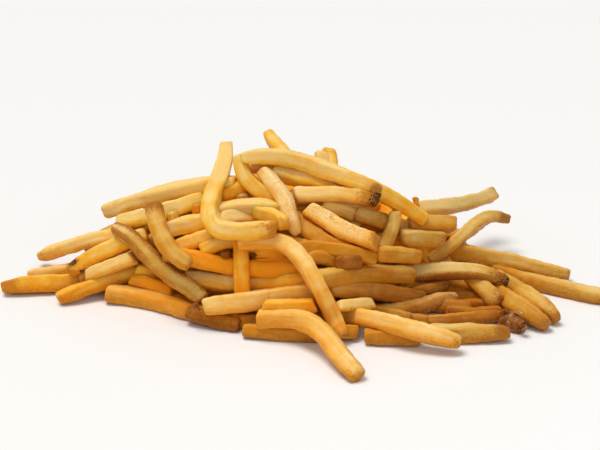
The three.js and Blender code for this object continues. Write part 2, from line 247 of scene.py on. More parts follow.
# %% How far in each place of a fry can come
def contact(bases, ways, radius):
    depth = np.full(len(bases), OUTSIDE)
    moving = np.arange(len(bases))
    while len(moving):
        gap = clearance(bases[moving] + depth[moving, None] * ways[moving]) - radius
        moving, gap = moving[gap >= NEAR], gap[gap >= NEAR]
        depth[moving] -= gap
        moving = moving[depth[moving] > BEYOND]
    return depth


print("a lone fry ends at", contact(*sight_lines(np.array([[0.0, -30.0]])), 3.0))


# %% Lay one fry
def lay(bases, ways, thickness):
    """A stiff rod on its two supports, sagging past them. Returns the places of its middle line."""
    touch = contact(bases, ways, thickness / 2 - PRESS)
    station = np.append(0, np.cumsum(np.linalg.norm(np.diff(bases, axis=0), axis=1)))
    middle = station[-1] / 2
    highest, slope = -math.inf, 0.0
    for i in range(len(touch)):
        if station[i] > middle + NEAR:
            break
        for j in range(len(touch) - 1, i, -1):
            if station[j] < middle - NEAR:
                break
            tilt = (touch[j] - touch[i]) / (station[j] - station[i])
            height = touch[i] + tilt * (middle - station[i])
            if height > highest + NEAR / 10:
                highest, slope = height, tilt
    slope = min(STEEPEST, max(-STEEPEST, slope))
    rod = np.max(touch - slope * station) + slope * station
    held = station[rod - touch < HELD]
    sag = LIMP * np.abs((station - held[0]) * (station - held[-1]))
    depth = np.maximum(touch, rod - sag)
    padded = np.concatenate([depth[:1], depth, depth[-1:]])
    depth = (padded[:-2] + 2 * depth + padded[2:]) / 4
    return bases + depth[:, None] * ways


print("rest rule ready: a fry is laid in stretches of", STRETCH, "mm")

# %% [markdown]
# ## The fries under and behind
# From the side and the back the heap has fries too, lying mostly level around the mound. They are
# spread by the golden share, which never puts two in line, and any that would stick out of the heap's
# outline is left out.

# %% Bounds of the outline
OUTLINE_TOP = [(-110, -13), (-80, 9), (-60, 17), (-40, 23), (-25, 33), (5, 33), (20, 26), (40, 16),
    (60, 6), (70, -2), (110, -14)]
OUTLINE_BOTTOM = [(-110, -18), (-60, -21), (-40, -28), (-20, -33), (15, -35), (60, -36), (90, -31),
    (110, -25)]
FRONT_REACH = 16.0  # how far out from the mound they go at its front
BACK_REACH = 28.0  # and behind


def height_at(line, across):
    """The height of a line of straight stretches at places across, drawn on past its first place."""
    line = np.array(line, float)
    after = np.maximum(1, [next((i for i, x in enumerate(line[:, 0]) if x >= at), 0) for at in across])
    (x0, z0), (x1, z1) = line[after - 1].T, line[after].T
    return z0 + (z1 - z0) * (across - x0) / (x1 - x0)


def in_outline(points):
    across, up = seen_at(points)
    reach = np.where(points[:, 1] > CORE_MIDDLE[1], BACK_REACH, FRONT_REACH)
    inside = (up <= height_at(OUTLINE_TOP, across)) & (up >= height_at(OUTLINE_BOTTOM, across))
    return bool(np.all(inside & (core_distance(points) < reach)))


print("outline top at the middle:", height_at(OUTLINE_TOP, np.array([0.0])))


# %% One fry on the mound
GOLDEN_SHARE = 0.618034  # of the way round, from one fry to the next
HEADING = 0.9  # the most that a fry turns out of the level, in radians
LENGTHS = (44, 74)
THICKNESSES = (6.2, 7.4)
BOW = 5  # the most that its middle is out of line
ROLL = 18  # degrees that a fry is turned about its own length, at most
SLANT = 0.25  # how far its ends are cut at a slant, at most


def mound_place(bearing, rise):
    """A place on the mound, with the ways out of it, level along it and up it."""
    level = math.sqrt(1 - rise * rise)
    ball = np.array([level * math.cos(bearing), level * math.sin(bearing), rise])
    out = ball / CORE_HALF
    out /= np.linalg.norm(out)
    flat = np.cross([0, 0, 1], out)
    flat /= np.linalg.norm(flat)
    return CORE_MIDDLE + ball * CORE_HALF, out, flat, np.cross(out, flat)


def mound_fry(bearing, rise):
    centre, out, flat, slope = mound_place(bearing, rise)
    heading = between(-HEADING, HEADING)
    run = flat * math.cos(heading) + slope * math.sin(heading)
    aside = np.cross(out, run)
    length = between(*LENGTHS)
    bow = between(-BOW, BOW)
    thickness = between(*THICKNESSES)
    roll, slant = between(-ROLL, ROLL), between(-SLANT, SLANT)
    count = rounded(length / STRETCH)
    share = (2 * np.arange(count + 1) / count - 1)[:, None]
    bases = centre + run * share * length / 2 + aside * bow * (1 - share * share)
    middle = lay(bases, np.tile(out, (count + 1, 1)), thickness)
    return {"middle": middle, "thickness": thickness, "out": out, "roll": roll, "slant": slant}


def mound_fries(count, first, last):
    """Fries over the mound between two bearings, from its foot upward."""
    made = []
    for i in range(count):
        bearing = first + (last - first) * ((i * GOLDEN_SHARE) % 1)
        fry = mound_fry(bearing, (i + 0.5) / count)
        if in_outline(fry["middle"]):
            remember(fry["middle"], fry["thickness"])
            made.append(fry)
    return made


# %% Lay them
LOWER_TRIES = 90  # all round
BACK_TRIES = 260  # behind alone, where they hide the mound
lower_fries = mound_fries(LOWER_TRIES, 0, 2 * math.pi)
back_fries = mound_fries(BACK_TRIES, -0.1 * math.pi, 1.1 * math.pi)
print(len(lower_fries), "lower fries and", len(back_fries), "behind")

# %% [markdown]
# ## The fries that show from the front
# Each line names one fry: its thickness, what kind it is, how browned its two ends are, and places
# along it, across and up, as seen from the front viewpoint. They are laid from the back of the heap
# to its front, so that each lies over those before it. Some more fries fill the gaps between them:
# those of the first list lie on the mound or the table, and those of the last a little behind the
# nearest fry.

# %% List the fries that show
SHOWN = [
    ("tall stub at the top", 6.4, "golden", 0.35, 0, [(-13.6, 46.2), (-9.8, 41), (-5, 35), (-1, 30)]),
    ("ragged stub behind the top", 7.6, "golden", 0.5, 0, [(11.8, 38.6), (12, 30), (12, 20)]),
    ("raised at the right", 6.6, "tan", 0, 0.55, [
        (41, 13.5), (53, 14.8), (62, 16), (71, 17.9), (79.6, 21)]),
    ("block behind", 7, "tan", 0, 0.3, [(44, 9), (55, 8.6), (63.8, 8.2)]),
    ("far right", 6.5, "tan", 0, 0.35, [
        (72, -8), (88, -13.2), (98, -15.8), (108, -17.8), (119, -20.4), (131, -22.3)]),
    ("long right", 7, "tan", 0, 0.35, [
        (60, -1.5), (72, -4), (82, -6.2), (92, -8.2), (102, -10.8), (110.8, -12.8)]),
    ("raised and bent", 5.8, "tan", 0, 0.7, [
        (52, -7), (60, -1.6), (66.5, 3.6), (72, 8.4), (76.5, 11.2), (80.5, 11.7), (85.5, 10.4)]),
    ("long upper left", 7, "golden", 0.3, 0, [
        (-79.8, 13.8), (-70, 16.9), (-60, 20), (-48, 23), (-36, 24.8), (-26, 25)]),
    ("under the long upper left", 7, "golden", 0.2, 0, [(-75, 8.5), (-62, 11.5), (-49, 15.5), (-38, 19)]),
    ("pointed left", 6.3, "golden", 0.25, 0, [
        (-107, -4.6), (-100, -2.4), (-90, 0.8), (-80, 3.2), (-68, 4.2)]),
    ("behind the far left", 6, "golden", 0.3, 0, [(-112, -13), (-100, -11.4), (-88, -9), (-76, -6)]),
    ("far left", 7.6, "golden", 0.7, 0, [
        (-123, -17.6), (-112, -16.4), (-100, -16), (-88, -14.8), (-76, -12.5)]),
    ("between the left ones", 6, "golden", 0.2, 0, [(-91, -13.8), (-80, -9.7), (-70, -6), (-60, -3)]),
    ("spotted left", 7.4, "golden", 0.55, 0, [
        (-95, -11.8), (-87.5, -6.6), (-80, -2.8), (-72, 0.8), (-62, 4)]),
    ("lower left", 7, "golden", 0.45, 0, [
        (-99.8, -22.2), (-90, -18.7), (-80, -15.2), (-70, -12), (-60, -9.5)]),
    ("hidden left", 7, "golden", 0.1, 0.1, [(-68, -10.5), (-56, -13)]),
    ("pale bottom left", 7.2, "pale", 0.3, 0.1, [
        (-79.8, -19.5), (-70, -20.8), (-60, -22.6), (-50, -25.5), (-41, -28.5)]),
    ("deep bottom left", 6, "brown", 0.1, 0.1, [(-47, -27.5), (-36, -30.7), (-24, -33)]),
    ("end facing out", 5.5, "golden", 0.35, 0, [(-52.5, 14.5), (-50.5, 6)]),
    ("small end facing out", 5, "golden", 0.35, 0, [(-42.5, 17.5), (-41.5, 10)]),
    ("left middle, upper", 7, "golden", 0.1, 0.1, [(-56, 5.5), (-48, 8), (-38, 9.5), (-30, 10)]),
    ("left middle, lower", 6.5, "golden", 0.1, 0.1, [(-51, -1.5), (-44, 1.3), (-36, 3.3), (-28, 4)]),
    ("left middle, short", 6.5, "golden", 0.1, 0.1, [(-41, -3), (-33, 0.3), (-24, 1.8)]),
    ("golden behind the upright", 6, "golden", 0.1, 0.1, [(-28, -2.5), (-16, -3), (-6, -5.5), (2, -8.5)]),
    ("deep orange across", 7.4, "golden", 0.1, 0.1, [
        (-55, -2.5), (-42, -6), (-30, -8.4), (-18, -9.3), (-6, -9.6), (4, -9)]),
    ("pale across", 7, "golden", 0.15, 0.15, [
        (-47, -13.5), (-32, -15.8), (-16, -15.6), (-2, -14.8), (9, -13.5)]),
    ("short upright", 6.4, "golden", 0.1, 0.1, [(-24, 2.5), (-24, -9), (-23.6, -21)]),
    ("brown-ended slope", 7, "tan", 0.6, 0.1, [
        (-60, 17.3), (-58.6, 9.5), (-56, 2.5), (-51.5, -4), (-45, -8.5)]),
    ("skin-on slope", 7.2, "tan", 0.4, 0.2, [
        (-77, 7.5), (-70.5, 3.8), (-64, -2.5), (-58, -8.5), (-51.5, -13.5), (-45, -18), (-39.5, -23)]),
    ("long pale across", 7.8, "pale", 0.1, 0.2, [
        (-40, -25.6), (-30, -24.3), (-18, -22.7), (-6, -20.8), (5, -19.2), (13, -18)]),
    ("short slope in the middle", 6, "golden", 0.1, 0.1, [(16, 17), (20.5, 12.5), (25, 8)]),
    ("brown stub in the middle", 7, "tan", 0.2, 0.5, [(22, 13), (30, 11), (36, 9)]),
    ("greyish upright", 6, "tan", 0.1, 0.1, [(39, 14.2), (38.2, 8), (35.5, 1.5), (32.5, -6)]),
    ("pinkish slope", 7.2, "tan", 0.1, 0.2, [(-3, 12), (3, 6), (11, 0.8), (20, -3.5), (26, -6)]),
    ("deep middle, upper", 6, "tan", 0.1, 0.3, [(-2, -1.8), (10, -1.5), (22, -3.5), (32, -6)]),
    ("deep middle, curved", 6, "tan", 0.1, 0.3, [(0, -7.5), (8, -5), (17, -7.5)]),
    ("deep middle, lower", 6, "brown", 0.3, 0.6, [(14, -7.5), (26, -7)]),
    ("brown right of the middle", 6.5, "tan", 0.1, 0.3, [(31, -3.5), (40, -3.8), (49, -5)]),
    ("curved at the top", 6.5, "golden", 0.3, 0.1, [
        (-24.8, 37.5), (-23.8, 31), (-20.5, 25.5), (-15, 21.7), (-8, 19)]),
    ("bright short across", 6.8, "golden", 0.1, 0.1, [(-34, 14), (-24, 15.3), (-14, 15.2), (-4, 13.5)]),
    ("under the crest, left", 5.5, "golden", 0.1, 0.1, [(-13, 31.5), (-5, 29.6), (2.8, 29)]),
    ("under the crest, right", 5.5, "golden", 0.1, 0.1, [(2, 30), (10, 27.2), (22, 25.2)]),
    ("crest", 7, "golden", 0.15, 0.2, [
        (-24.5, 35.6), (-14, 36.4), (-4, 35.4), (6, 32.3), (16, 28.9), (26, 24.7), (35, 20.3),
        (44, 15.2), (52, 9.6)]),
    ("dark-ended across", 7, "pale", 0.1, 1.0, [(-3, 20.4), (7, 20.5), (16, 20.8), (25, 19.8), (33, 18.4)]),
    ("sugary slope", 6.6, "pale", 0.1, 0.15, [
        (-16, 31), (-12.5, 27), (-8, 21.7), (-5.3, 16), (-3.6, 10), (-0.8, 3.8)]),
    ("broad slope", 7.5, "pale", 0.1, 0.75, [(2.5, 15), (10, 10.3), (18, 5.8), (26, 2.6), (32, 0.9)]),
    ("block", 7.4, "tan", 0.1, 0.6, [(41.5, 3), (50, 2.9), (59, 2.6)]),
    ("fan, outer", 7, "tan", 0.1, 0.7, [(80, -13), (90, -18.8), (98, -24), (106, -31)]),
    ("fan, inner", 7.6, "tan", 0.1, 0.75, [(76, -17), (86, -23), (94, -28.2), (102, -33.3)]),
    ("blunt, facing out", 7.6, "tan", 0.1, 0.6, [(69, -12.5), (75.5, -18), (82.3, -24.2)]),
    ("crisp-tipped", 6.6, "tan", 0.1, 1.0, [
        (44, -12), (55, -10.9), (66, -10.7), (74, -11.3), (80, -13.3), (85.5, -16)]),
    ("shaded stub", 5.5, "brown", 0.1, 0.4, [(42, -20.5), (52, -18.5), (60.5, -17)]),
    ("shaded across", 6.8, "brown", 0.1, 0.3, [(11, -18), (25, -18.6), (38, -20.2), (51, -21.8)]),
    ("roasted", 6.6, "brown", 0.2, 0.5, [(29, -28.5), (40, -27), (50, -24.8), (58, -22.4), (64.5, -21.4)]),
    ("yellow stub", 5.2, "golden", 0.2, 0.2, [(14, -25), (22, -24.6), (31, -24.1)]),
    ("long across, right", 6.8, "tan", 0.1, 0.2, [(6, -14.2), (18, -12.8), (30, -11.9), (47, -12.3)]),
    ("brown-ended, thin", 4.6, "tan", 0.1, 0.9, [(38, -29.5), (48, -30.6), (58.3, -31.6)]),
    ("thin across, right", 5.5, "brown", 0.1, 0.5, [(52, -31.2), (64, -30.6), (74, -29.8), (85, -28.5)]),
    ("burnt crumb", 7, "brown", 0.8, 1.0, [(83, -29.5), (88, -32), (92, -33)]),
    ("bottom, left", 6, "tan", 0.1, 0.1, [(-24, -35), (-10, -36), (2, -36.4), (12, -36.6)]),
    ("bottom, middle", 6, "tan", 0.1, 0.1, [(10, -35.5), (24, -35.8)]),
    ("bottom, cut end", 7.4, "tan", 0.1, 0.8, [(52, -36), (64, -36.3), (75, -36), (86.5, -36)]),
    ("bottom, right", 6.4, "tan", 0.1, 0.2, [(25.8, -37.3), (36, -37.8), (50, -38.3)]),
    ("long lower right", 7.6, "pale", 0.2, 0.35, [
        (15, -28.3), (25, -29.7), (35, -31.8), (45, -34.6), (56, -37.4), (66.5, -40)]),
    ("long slope", 6.8, "pale", 0.1, 0.25, [
        (-26, 0.5), (-16, 1.2), (-8, 0.8), (-2.5, -2.5), (2, -8), (6.5, -15.5), (10.5, -23),
        (14.2, -30.5), (17.6, -37.5)]),
    ("hooked", 6.6, "golden", 0.3, 0.75, [
        (-30.3, 41.6), (-31, 34), (-33.5, 26.5), (-36, 19), (-36.4, 12), (-33.2, 7), (-26, 5.6),
        (-18, 6), (-9, 6.5)]),
    ("reaching forward", 7, "pale", 0.1, 0.3, [
        (-18, -30.5), (-8, -30), (0, -30.7), (6, -33.5), (11, -38), (15.5, -44), (20, -49.5), (24, -54)]),
]
print(len(SHOWN), "fries show from the front")


# %% Lay them in that order
def seen_fry(name, middle, thickness, kind, ends):
    """A fry that faces the viewer, with its own turn and its own slant of the ends."""
    fry = {"name": name, "middle": middle, "thickness": thickness, "out": TOWARD, "kind": kind, "ends": ends}
    return fry | {"roll": between(-ROLL, ROLL), "slant": between(-SLANT, SLANT)}


def shown_fry(name, thickness, kind, first_end, last_end, places):
    flat = np.array([(across, 0.0, up) for across, up in places])
    count = max(2, rounded(curve_length(flat) / STRETCH))
    line = curve_points(flat, np.arange(count + 1) / count)[:, [0, 2]]
    middle = lay(*sight_lines(line), thickness)
    remember(middle, thickness)
    return seen_fry(name, middle, thickness, kind, (first_end, last_end))


shown_fries = [shown_fry(*line) for line in SHOWN]
highest = max(shown_fries, key=lambda fry: fry["middle"][:, 2].max())
print("the highest is the", highest["name"], round(highest["middle"][:, 2].max()), "mm up")

# %% List the fries that show deep between them
FILLING = [  # thickness, kind and places
    (6.4, "golden", [(-46, -26), (-36, -29), (-25, -31.5)]),
    (6.2, "tan", [(-40, -29.5), (-25, -31), (-12, -31)]),
    (6.6, "tan", [(-34, -27.2), (-18, -28), (-3, -27)]),
    (6.2, "golden", [(-20, -25), (-5, -25.5), (11, -24)]),
    (6.4, "golden", [(-56, -19.5), (-46, -24), (-37, -27)]),
    (6.4, "tan", [(0, -27.5), (12, -31), (25, -33)]),
    (6.2, "tan", [(20, -27.5), (33, -28), (46, -31)]),
    (6.2, "brown", [(57, -19.5), (68, -21.5), (78, -23)]),
    (6.0, "brown", [(61, -25.6), (73, -24.6), (84, -24.4)]),
    (6.4, "tan", [(54, -15), (66, -17.5), (76, -21)]),
    (6.4, "brown", [(46, -23.6), (59, -25), (71, -26.5)]),
    (6.0, "brown", [(59, -27.6), (71, -28.4), (83, -27.2)]),
    (6.2, "golden", [(-76, -12.6), (-62, -16), (-50, -19)]),
    (6.0, "golden", [(-92, -16.6), (-79, -14.8), (-66, -13)]),
    (6.2, "golden", [(-70, -17), (-58, -18.5), (-46, -21)]),
]
SMALL_BITS = [  # crumbs, in the same way
    (3.0, "golden", [(47.2, 19.4), (48, 17.5), (48.6, 15)]),
    (3.8, "tan", [(29, 24.2), (31.6, 23.6), (33.6, 21.6)]),
    (3.2, "brown", [(-44, -23.8), (-42.4, -25.4), (-41, -27)]),
    (3.2, "brown", [(-32.6, -3.0), (-30.4, -3.9), (-28.4, -4.4)]),
    (2.8, "brown", [(-20.3, -3.4), (-19.6, -4.6), (-18.8, -6)]),
    (3.4, "brown", [(82, -28.6), (84, -27.4), (86, -28)]),
    (3.0, "tan", [(87.4, -27.8), (89.4, -28.6), (91, -30)]),
    (3.4, "brown", [(89.6, -31.5), (91.4, -32.3), (93, -34)]),
]
IN_GAPS = [  # name, how far behind the nearest fry there, thickness, kind and places
    ("bright in a gap", 11, 5.6, "golden", [(-21.6, 33.4), (-15, 32.6), (-6, 31.8), (4, 30.4)]),
    ("bright in a gap", 11, 5.6, "golden", [(8.6, 39.2), (9.4, 34), (10.4, 28)]),
    ("bright in a gap", 8, 6.4, "golden", [(-12, 31), (-4, 28.5), (6, 26.6), (17, 23.6)]),
    ("deep in a gap", 8, 6.4, "golden", [(-33, 20), (-27, 22.6), (-21, 27)]),
    ("bright in a gap", 7, 6.8, "pale", [(-34, 10.6), (-25, 11.4), (-16, 11.8)]),
    ("deep in a gap", 7, 6.2, "golden", [(-19, 14), (-12, 12), (-6, 8.2)]),
    ("bright in a gap", 8, 6.2, "golden", [(8, 16.4), (18, 14.6), (28, 11.4)]),
    ("bright in a gap", 3, 5.4, "golden", [(15, -25.2), (22, -24.8), (30, -24.2)]),
    ("deep in a gap", 5, 6.0, "golden", [(-16, -26), (-4, -26), (7, -25)]),
    ("deep in a gap", 4, 6.0, "golden", [(-70, -14), (-60, -16.5), (-52, -20)]),
    ("bright in a gap", 2, 6.0, "pale", [(-88, -12.5), (-78, -9), (-68, -5.2)]),
    ("chip", 5.5, 4.4, "golden", [(-4.6, 28.4), (-1.4, 28.2), (1.4, 26.8)]),
]


# %% Lay them
FILLING_PLACES = 7  # along each filling fry, at which it is laid


def filling_fry(thickness, kind, places):
    """A fry that lies on the table or the mound, as if nothing had been laid before it."""
    fries_laid = dict(laid)
    laid.update({"start": np.zeros((0, 3)), "span": np.zeros((0, 3)), "radius": np.zeros(0)})
    middle = lay(*sight_lines(curve_points(places, np.linspace(0, 1, FILLING_PLACES))), thickness)
    laid.update(fries_laid)
    return seen_fry("filling", middle, thickness, kind, (0.3, 0.3))


CRUMB_ROLL = 40
CRUMB_SLANT = 0.4


def small_bit(thickness, kind, places):
    """A crumb that lies on whatever is nearest to the viewer there."""
    middle = lay(*sight_lines(np.array(places, float)), thickness)
    fry = {"name": "crumb", "middle": middle, "thickness": thickness, "out": TOWARD}
    fry |= {"kind": kind, "ends": (0.5, 0.5)}
    return fry | {"roll": between(-CRUMB_ROLL, CRUMB_ROLL), "slant": CRUMB_SLANT}


filling_fries = [filling_fry(*line) for line in FILLING]
crumbs = [small_bit(*line) for line in SMALL_BITS]
for name, behind, *line in IN_GAPS:
    fry = small_bit(*line)
    fry["middle"] = fry["middle"] - behind * TOWARD
    filling_fries.append(fry | {"name": name, "ends": (0.1, 0.1)})
print(len(filling_fries), "filling fries and", len(crumbs), "crumbs")

# %% [markdown]
# ## What each fry looks like
# No two fries are fried alike. The ones at the left stayed golden, those at the right went tan, and a
# few are pale or roasted. The fries under and behind get their kind by a draw that follows that drift.
# This draw has its own seed, so that changing a colour never moves a fry.

# %% Kinds for the fries under and behind
LOOKS_SEED = 20
KINDS = ("golden", "pale", "tan", "brown")
AT_THE_LEFT = np.array([0.62, 0.2, 0.14, 0.04])  # the chances of each kind
DRIFT = np.array([-0.3, 0.0, 0.25, 0.05])  # and how they change towards the right
HEAP_REACH = 120  # millimetres, across which they do
looks = np.random.default_rng(LOOKS_SEED)
for fry in lower_fries + back_fries:
    rightward = 0.5 + fry["middle"][:, 0].mean() / HEAP_REACH
    chances = AT_THE_LEFT + DRIFT * rightward
    fry["kind"] = str(looks.choice(KINDS, p=chances / chances.sum()))
    fry["ends"] = tuple(looks.uniform(0.1, 0.8, 2))
    fry["name"] = "under or behind"
all_fries = lower_fries + back_fries + shown_fries + filling_fries + crumbs
for kind in KINDS:
    print(kind, sum(fry["kind"] == kind for fry in all_fries))

# %% [markdown]
# ## The fries inside
# Between the fries that show, deeper ones can be seen in the gaps. They lie along the mound's surface,
# half sunk in it and deeper still at the rear, so they need no rest rule and may cross each other.

# %% Lay the inner fries
INNER_FRIES = 90
INNER_HEADING = 1.2
INNER_LENGTHS = (26, 46)
INNER_PLACES = 6  # along each of them
INNER_RISE = (0.06, 0.92)  # how high up the mound the lowest is, and how far the rest go on from there
INNER_THICKNESSES = (6.0, 7.2)
INNER_LOWEST = 3.2  # the height of the lowest middle line, so that they stay off the table
INNER_ROLL = 30
INNER_LIFT = 1.5  # how far their middle line is outside the mound, on average
SUNK_BEHIND = 3.0  # how much deeper they lie at the rear, where the fries over them lie looser


def inner_fry(bearing, rise):
    centre, out, flat, slope = mound_place(bearing, rise)
    heading = looks.uniform(-INNER_HEADING, INNER_HEADING)
    run = flat * math.cos(heading) + slope * math.sin(heading)
    length = looks.uniform(*INNER_LENGTHS)
    share = np.linspace(-0.5, 0.5, INNER_PLACES)[:, None]
    points = centre + run * share * length
    to_mound = 1 / np.linalg.norm((points - CORE_MIDDLE) / CORE_HALF, axis=1)[:, None]
    points = CORE_MIDDLE + (points - CORE_MIDDLE) * to_mound
    sunk = SUNK_BEHIND * max(0.0, math.sin(bearing))
    middle = points + out * (looks.uniform(0, 2 * INNER_LIFT) - sunk)
    middle[:, 2] = np.maximum(middle[:, 2], INNER_LOWEST)
    fry = {"name": "inside", "middle": middle, "thickness": looks.uniform(*INNER_THICKNESSES)}
    fry |= {"out": out, "kind": "deep", "ends": (0.2, 0.2)}
    return fry | {"roll": looks.uniform(-INNER_ROLL, INNER_ROLL), "slant": 0.1}


inner_fries = []
for i in range(INNER_FRIES):
    rise = INNER_RISE[0] + INNER_RISE[1] * (i + 0.5) / INNER_FRIES
    inner_fries.append(inner_fry(2 * math.pi * ((i * GOLDEN_SHARE) % 1), rise))
print(len(inner_fries), "inner fries")

# %% [markdown]
# ## From a line to a fry
# A cutter makes square sticks with sharp edges. Frying draws water out of them, so the edges round
# off, the faces sink a little in the middle and the whole stick gets uneven. A bevel modifier on a box
# would give every fry the same edges, so each ring of points is worked out here: a rounded square
# whose width, height, twist and corner wander along the fry.

# %% The outline of a cut through a fry
CORNER_STEPS = 4  # points round each corner
FACE_STEPS = 2  # points along each face between corners


def section(corner):
    """Points round a square from -1 to 1, with rounded corners, and how much of a corner each is."""
    points, sharp = [], []
    for quarter in range(4):
        turn = quarter * math.pi / 2
        c, s = math.cos(turn), math.sin(turn)
        for i in range(CORNER_STEPS):
            angle = math.pi / 2 * i / (CORNER_STEPS - 1)
            x = 1 - corner + corner * math.cos(angle)
            y = 1 - corner + corner * math.sin(angle)
            points.append((c * x - s * y, s * x + c * y))
            sharp.append(1.0)
        for i in range(1, FACE_STEPS + 1):
            x = (1 - corner) * (1 - 2 * i / (FACE_STEPS + 1))
            points.append((c * x - s, s * x + c))
            sharp.append(0.0)
    return np.array(points), np.array(sharp)


SIDES = len(section(0.3)[0])
print(SIDES, "points round each ring")


# %% Slow wandering along a fry and over its surface
OCTAVES = (1.0, 0.53, 0.31)
FULL_TURN = 6.28
LUMP_WAVES = 5
LUMP_SPREAD = (0.7, 1.5)  # how far their wavelengths differ
LUMP_SIZE = 3.2  # what the sum of the waves seldom passes


def wander(stations, wavelength, dice):
    """A smooth uneven line from -1 to 1 with about that wavelength, in millimetres."""
    total = np.zeros_like(stations)
    for octave in OCTAVES:
        start = dice.uniform(0, FULL_TURN)
        total += octave * np.sin(2 * math.pi * stations / (wavelength * octave) + start)
    return total / sum(OCTAVES)


def lumps(points, wavelength, dice):
    """Smooth unevenness over points in space, from -1 to 1."""
    total = np.zeros(points.shape[:-1])
    for _ in range(LUMP_WAVES):
        way = dice.normal(size=3)
        way *= 2 * math.pi / (wavelength * dice.uniform(*LUMP_SPREAD) * np.linalg.norm(way))
        total += np.sin(points @ way + dice.uniform(0, FULL_TURN))
    return total / LUMP_SIZE


print("wander", np.round(wander(np.arange(0, 30, 10.0), 20, np.random.default_rng(1)), 2))

# %% Sizes of the fry mesh
RING_GAP = 1.2  # millimetres from ring to ring
CUT_BACK = 0.5  # how far an end stays inside the solid's
END_RINGS = [(0.0, 0.66), (0.12, 0.79), (0.4, 0.9), (1.0, 0.97), (1.9, 1.0)]  # from the end, and how wide
TAPERS = {  # how much thinner single fries get towards their two ends
    "tall stub at the top": (0.3, 0), "raised and bent": (0.1, 0.3), "pointed left": (0.5, 0),
    "far left": (0.55, 0), "far right": (0, 0.35), "skin-on slope": (0.4, 0.1), "hooked": (0.25, 0.1),
    "crest": (0.4, 0.2), "sugary slope": (0.2, 0.55), "crisp-tipped": (0.1, 0.4),
    "fan, outer": (0.1, 0.45), "fan, inner": (0.1, 0.45), "long lower right": (0.1, 0.4),
    "long slope": (0.2, 0.1), "roasted": (0.2, 0.4), "thin across, right": (0.1, 0.4),
    "lower left": (0.3, 0.1), "bottom, cut end": (0.1, 0.35),
}
ROUGH_ENDS = {  # how far the crust is blistered at single fries' first and last end, in millimetres
    "far left": (0.55, 0), "spotted left": (0.4, 0), "brown-ended slope": (0.3, 0),
    "dark-ended across": (0, 0.5), "broad slope": (0, 0.4), "crisp-tipped": (0, 0.7),
    "blunt, facing out": (0, 0.35), "roasted": (0.4, 0.7), "fan, inner": (0, 0.35),
    "fan, outer": (0, 0.3), "burnt crumb": (0.9, 0.9), "crumb": (0.9, 0.9), "bottom, cut end": (0, 0.45),
    "shaded across": (0.1, 0.4), "shaded stub": (0.1, 0.4), "thin across, right": (0.1, 0.4),
}
RAGGED = {"tan": 1.3, "brown": 1.9, "golden": 1.0, "pale": 1.0, "deep": 1.2}  # how uneven the edges are
RUN_STEPS = 400  # places at which the way along a fry is measured
FIRST_INNER_RING = 3.0  # millimetres from the first end
LAST_GAP = 2.6  # and the least from the last one
TINY_SHARE = 0.004  # of a fry, to find which way it runs at a place
CORNERS = (0.32, 0.6)  # share of half the width that is rounded off
CRUMB_CORNER = 0.7
TWIST, TWIST_LENGTH = 0.3, 80  # radians that a fry twists, and the length in which it turns back
WIDTH_CHANGE = 0.05
WIDTH_LENGTH, HEIGHT_LENGTH = 30, 36
ON_A_FACE = 0.99  # how far out a point is that lies on a face of the square
PLUMPNESS = (0.92, 1.03)
MOST_TAPER = 0.2
TAPER_REACH = (3, 8)
MOST_SUNK = 0.06  # share of half the width by which a face sinks in
SLANT_REACH = 3.0
BLISTER_REACH = 5
UNEVEN = ((0.14, 10), (0.1, 3.6))  # millimetres high, and how long the waves are


